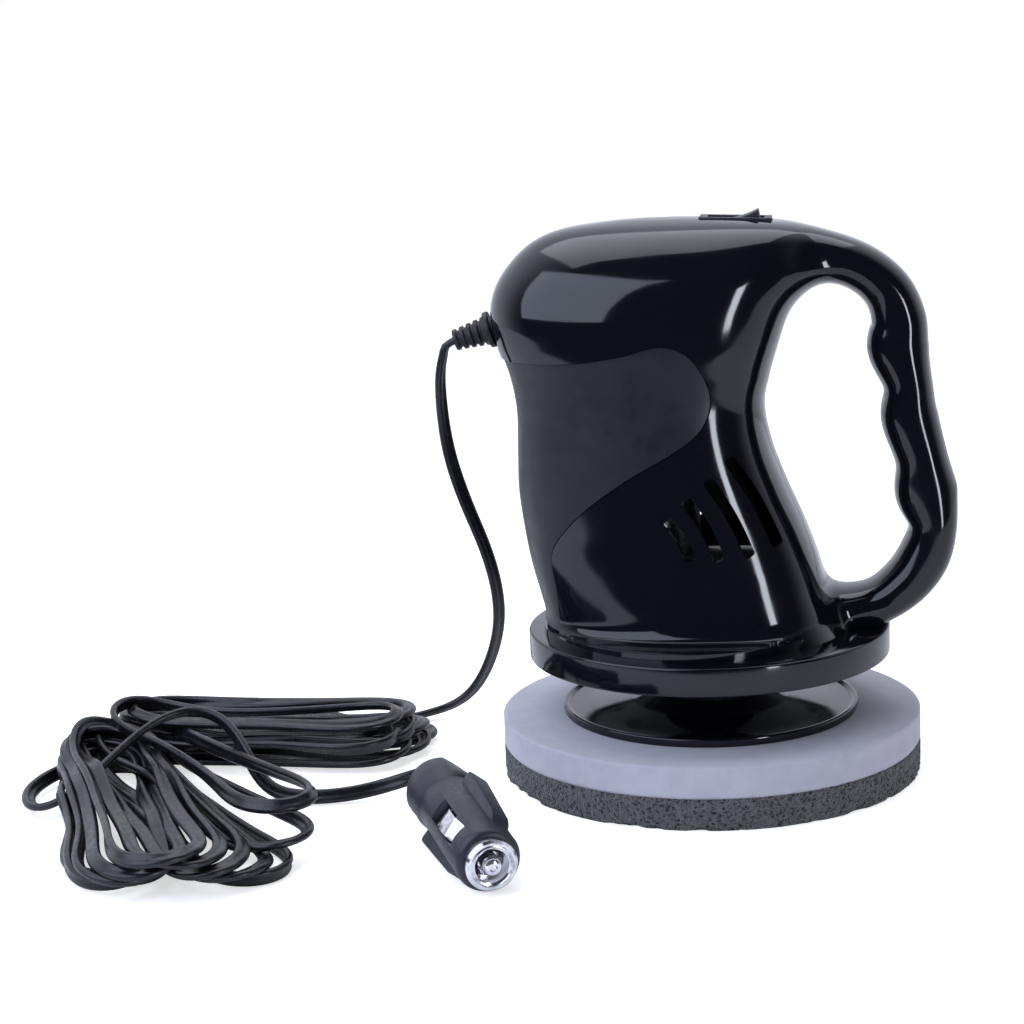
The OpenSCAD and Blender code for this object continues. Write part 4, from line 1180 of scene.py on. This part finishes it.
def make_plug():
    at = plug_frame()
    r = PLUG_R
    shell = bar("plug_barrel", [(-BARREL_L, 0), (-BARREL_L, r), (-4.6, r), (-3.2, r - 0.5), (-2.5, r - 1.5),
                                (-2.5, 0)], 128)
    wing = [(-47, r - 3), (-47, 13.4), (-46, 14), (-44, 14), (-16, 12.2), (-13.5, 11.3), (-11, 9.6)]
    for side in (1, -1):
        piece = prism("wing", [(x, side * y) for x, y in wing], -3.6, 3.6)
        soften(piece, 0.9, 3)
        combine(shell, "UNION", piece)
    combine(shell, "DIFFERENCE", bar("bore", [(-BARREL_L - 1, 0), (-BARREL_L - 1, 4.6), (5, 4.6), (5, 0)]))
    for side in (1, -1):
        window = block("window", (-35, -3.8, 3 if side > 0 else -13), (-11.5, 3.8, 13 if side > 0 else -3))
        combine(shell, "DIFFERENCE", window)
    combine(shell, "DIFFERENCE", bar("mouth", [(-12, 0), (-12, 7.5), (5, 7.5), (5, 0)]))
    soften(shell, 0.25, 2, 40)
    place(finish_mesh(moved(shell, at), PLUG, 40), "housing", "plug", "plug_shell")

    swell = r + 1.2
    head = bar("plug_grip", [(-PLUG_L, 0), (-PLUG_L, r - 3.5), (-PLUG_L + 1.2, r - 1.6),
                             (-PLUG_L + 3.4, r + 0.4), (-PLUG_L + 6.5, swell), (-58, swell),
                             (-BARREL_L - 2.4, r + 0.5), (-BARREL_L, r), (-BARREL_L, 0)], 128)
    for side in (1, -1):
        low, high = (9.6, 20) if side > 0 else (-20, -9.6)
        flat = block("flat", (-PLUG_L - 1, low, -20), (-BARREL_L - 5, high, 20))
        combine(head, "DIFFERENCE", flat)
    combine(head, "DIFFERENCE", bar("core", [(-PLUG_L + 3, 0), (-PLUG_L + 3, 4.6), (0, 4.6), (0, 0)]))
    soften(head, 0.5, 3, 40)
    place(finish_mesh(moved(head, at), PLUG, 40), "housing", "plug", "plug_head")

    ring = [(-11.8, 5.8), (-11.8, 7.45), (-2.4, 7.45), (-2.4, 8.2), (-2.1, 8.4), (0.3, 8.4), (1.2, 7.7),
            (1.2, 7.0), (0.7, 6.7), (0.4, 6.3), (0.9, 5.9), (0.7, 5.5), (-1.6, 4.0), (-1.6, 5.8),
            (-11.8, 5.8)]
    nose = bar("plug_ring", ring[:-1], 128, CHROME, 30)
    place(moved(nose, at), "housing", "chrome", "plug_nose_ring")

    tip_profile = [(-6.4, 0), (-6.4, 5), (-5.2, 5), (-5.2, 2.9), (1.2, 2.9), (1.9, 2.6), (2.4, 1.9),
                   (2.5, 1.3), (1.7, 1.0), (1.5, 0)]
    tip = bar("plug_centre", tip_profile, 64, CHROME, 30)
    place(moved(tip, at), "plug_tip", "chrome", "plug_tip")

    for name, side, body in (("upper", 1, "contact_upper"), ("lower", -1, "contact_lower")):
        rows = [(-33, 7.7), (-31, 8.0), (-29.5, 9.0), (-27.5, 10.3), (-25, 10.9), (-21, 10.9), (-18.5, 10.3),
                (-16.5, 9.0), (-15, 8.0), (-13.2, 7.7)]
        line = catmull(rows, 36)
        outline = np.vstack([line, (line - [0, 0.8])[::-1]])
        blade = prism("plug_spring_" + name, outline, -3.3, 3.3, "y")
        slit = block("slit", (-27.2, -2.4, 4), (-25.6, 2.6, 14))
        combine(blade, "DIFFERENCE", slit)
        soften(blade, 0.15, 2, 50)
        turn = at @ Matrix.Rotation(math.radians(0 if side > 0 else 180), 4, "X")
        place(finish_mesh(moved(blade, turn), CHROME, 40), body, "chrome", "plug_contact_" + name)


# ---------------------------------------------------------------- switch and strain relief

def make_switch():
    frame_at = switch_frame()
    rim = block("bezel", (-12.5, -7.5, -1.3), (12.5, 7.5, 1.1))
    combine(rim, "UNION", block("can", (-10.8, -6.5, -16), (10.8, 6.5, -1)))
    combine(rim, "DIFFERENCE", block("well", (-9.7, -5.4, -9), (9.7, 5.4, 3)))
    soften(rim, 0.35, 3, 40)
    place(finish_mesh(moved(rim, frame_at), PLUG, 40), "housing", "switch", "switch_body")

    bowl, depth = 30.0, 2.4
    top = [(x, depth + bowl - math.sqrt(bowl ** 2 - x ** 2)) for x in np.linspace(8.8, -8.8, 25)]
    under = [(-8.8, -1.4), (-6.2, -4.0), (-3, -5.2), (0, -6.2), (3, -5.2), (6.2, -4.0), (8.8, -1.4)]
    key = prism("rocker_key", top + under, -5.1, 5.1, "y")
    soften(key, 0.45, 3, 35)
    turn = Matrix.Translation((0, 0, -1.8)) @ Matrix.Rotation(math.radians(-13), 4, "Y")
    place(finish_mesh(moved(key, frame_at @ turn), PLUG, 40), "rocker", "switch", "rocker")


def make_relief():
    """Tapered rubber boot with raised rings and a collar against the housing."""
    body = [(0, -6), (5.4, -6), (5.4, -4.2), (4.1, -4), (4.1, 0), (6.5, 0), (6.5, 1.5), (6.1, 1.9),
            (5.3, 2.0)]
    for k in range(4):
        z, r = 3.1 + k * 2.7, 5.1 - k * 0.34
        body += [(r, z), (r - 1.0, z + 0.25), (r - 1.05, z + 1.15), (r - 0.25, z + 1.4)]
    body += [(3.8, 14), (0, 14)]
    boot = lathe("strain_relief_boot", rounded(body, 0.3, 2), 72, RUBBER, 50)
    place(moved(boot, relief_frame()), "housing", "rubber", "strain_relief")


SLOT_FINISH = {
    "screws": BLACK_OXIDE, "base": PLUG, "brass": BRASS, "wire_red": WIRE_RED, "cord": CORD,
    "rubber": RUBBER, "zinc": ZINC, "magnet": MAGNET, "iron": IRON, "copper": COPPER, "steel": STEEL,
    "alloy": ALLOY, "plug": PLUG, "chrome": CHROME, "glass": GLASS, "housing": GLOSS, "switch": PLUG,
}


def dress_nodes():
    """Gives each CAD node that shows as it is the finish of its slot in the record."""
    for part in frame["record"]["subparts"]:
        finish = SLOT_FINISH.get(part["material_slot"])
        if finish:
            mesh = frame["nodes"][part["node"]].data
            mesh.materials.clear()
            mesh.materials.append(finish)


make_pad()
make_plate()
make_plug()
make_switch()
make_relief()
dress_nodes()
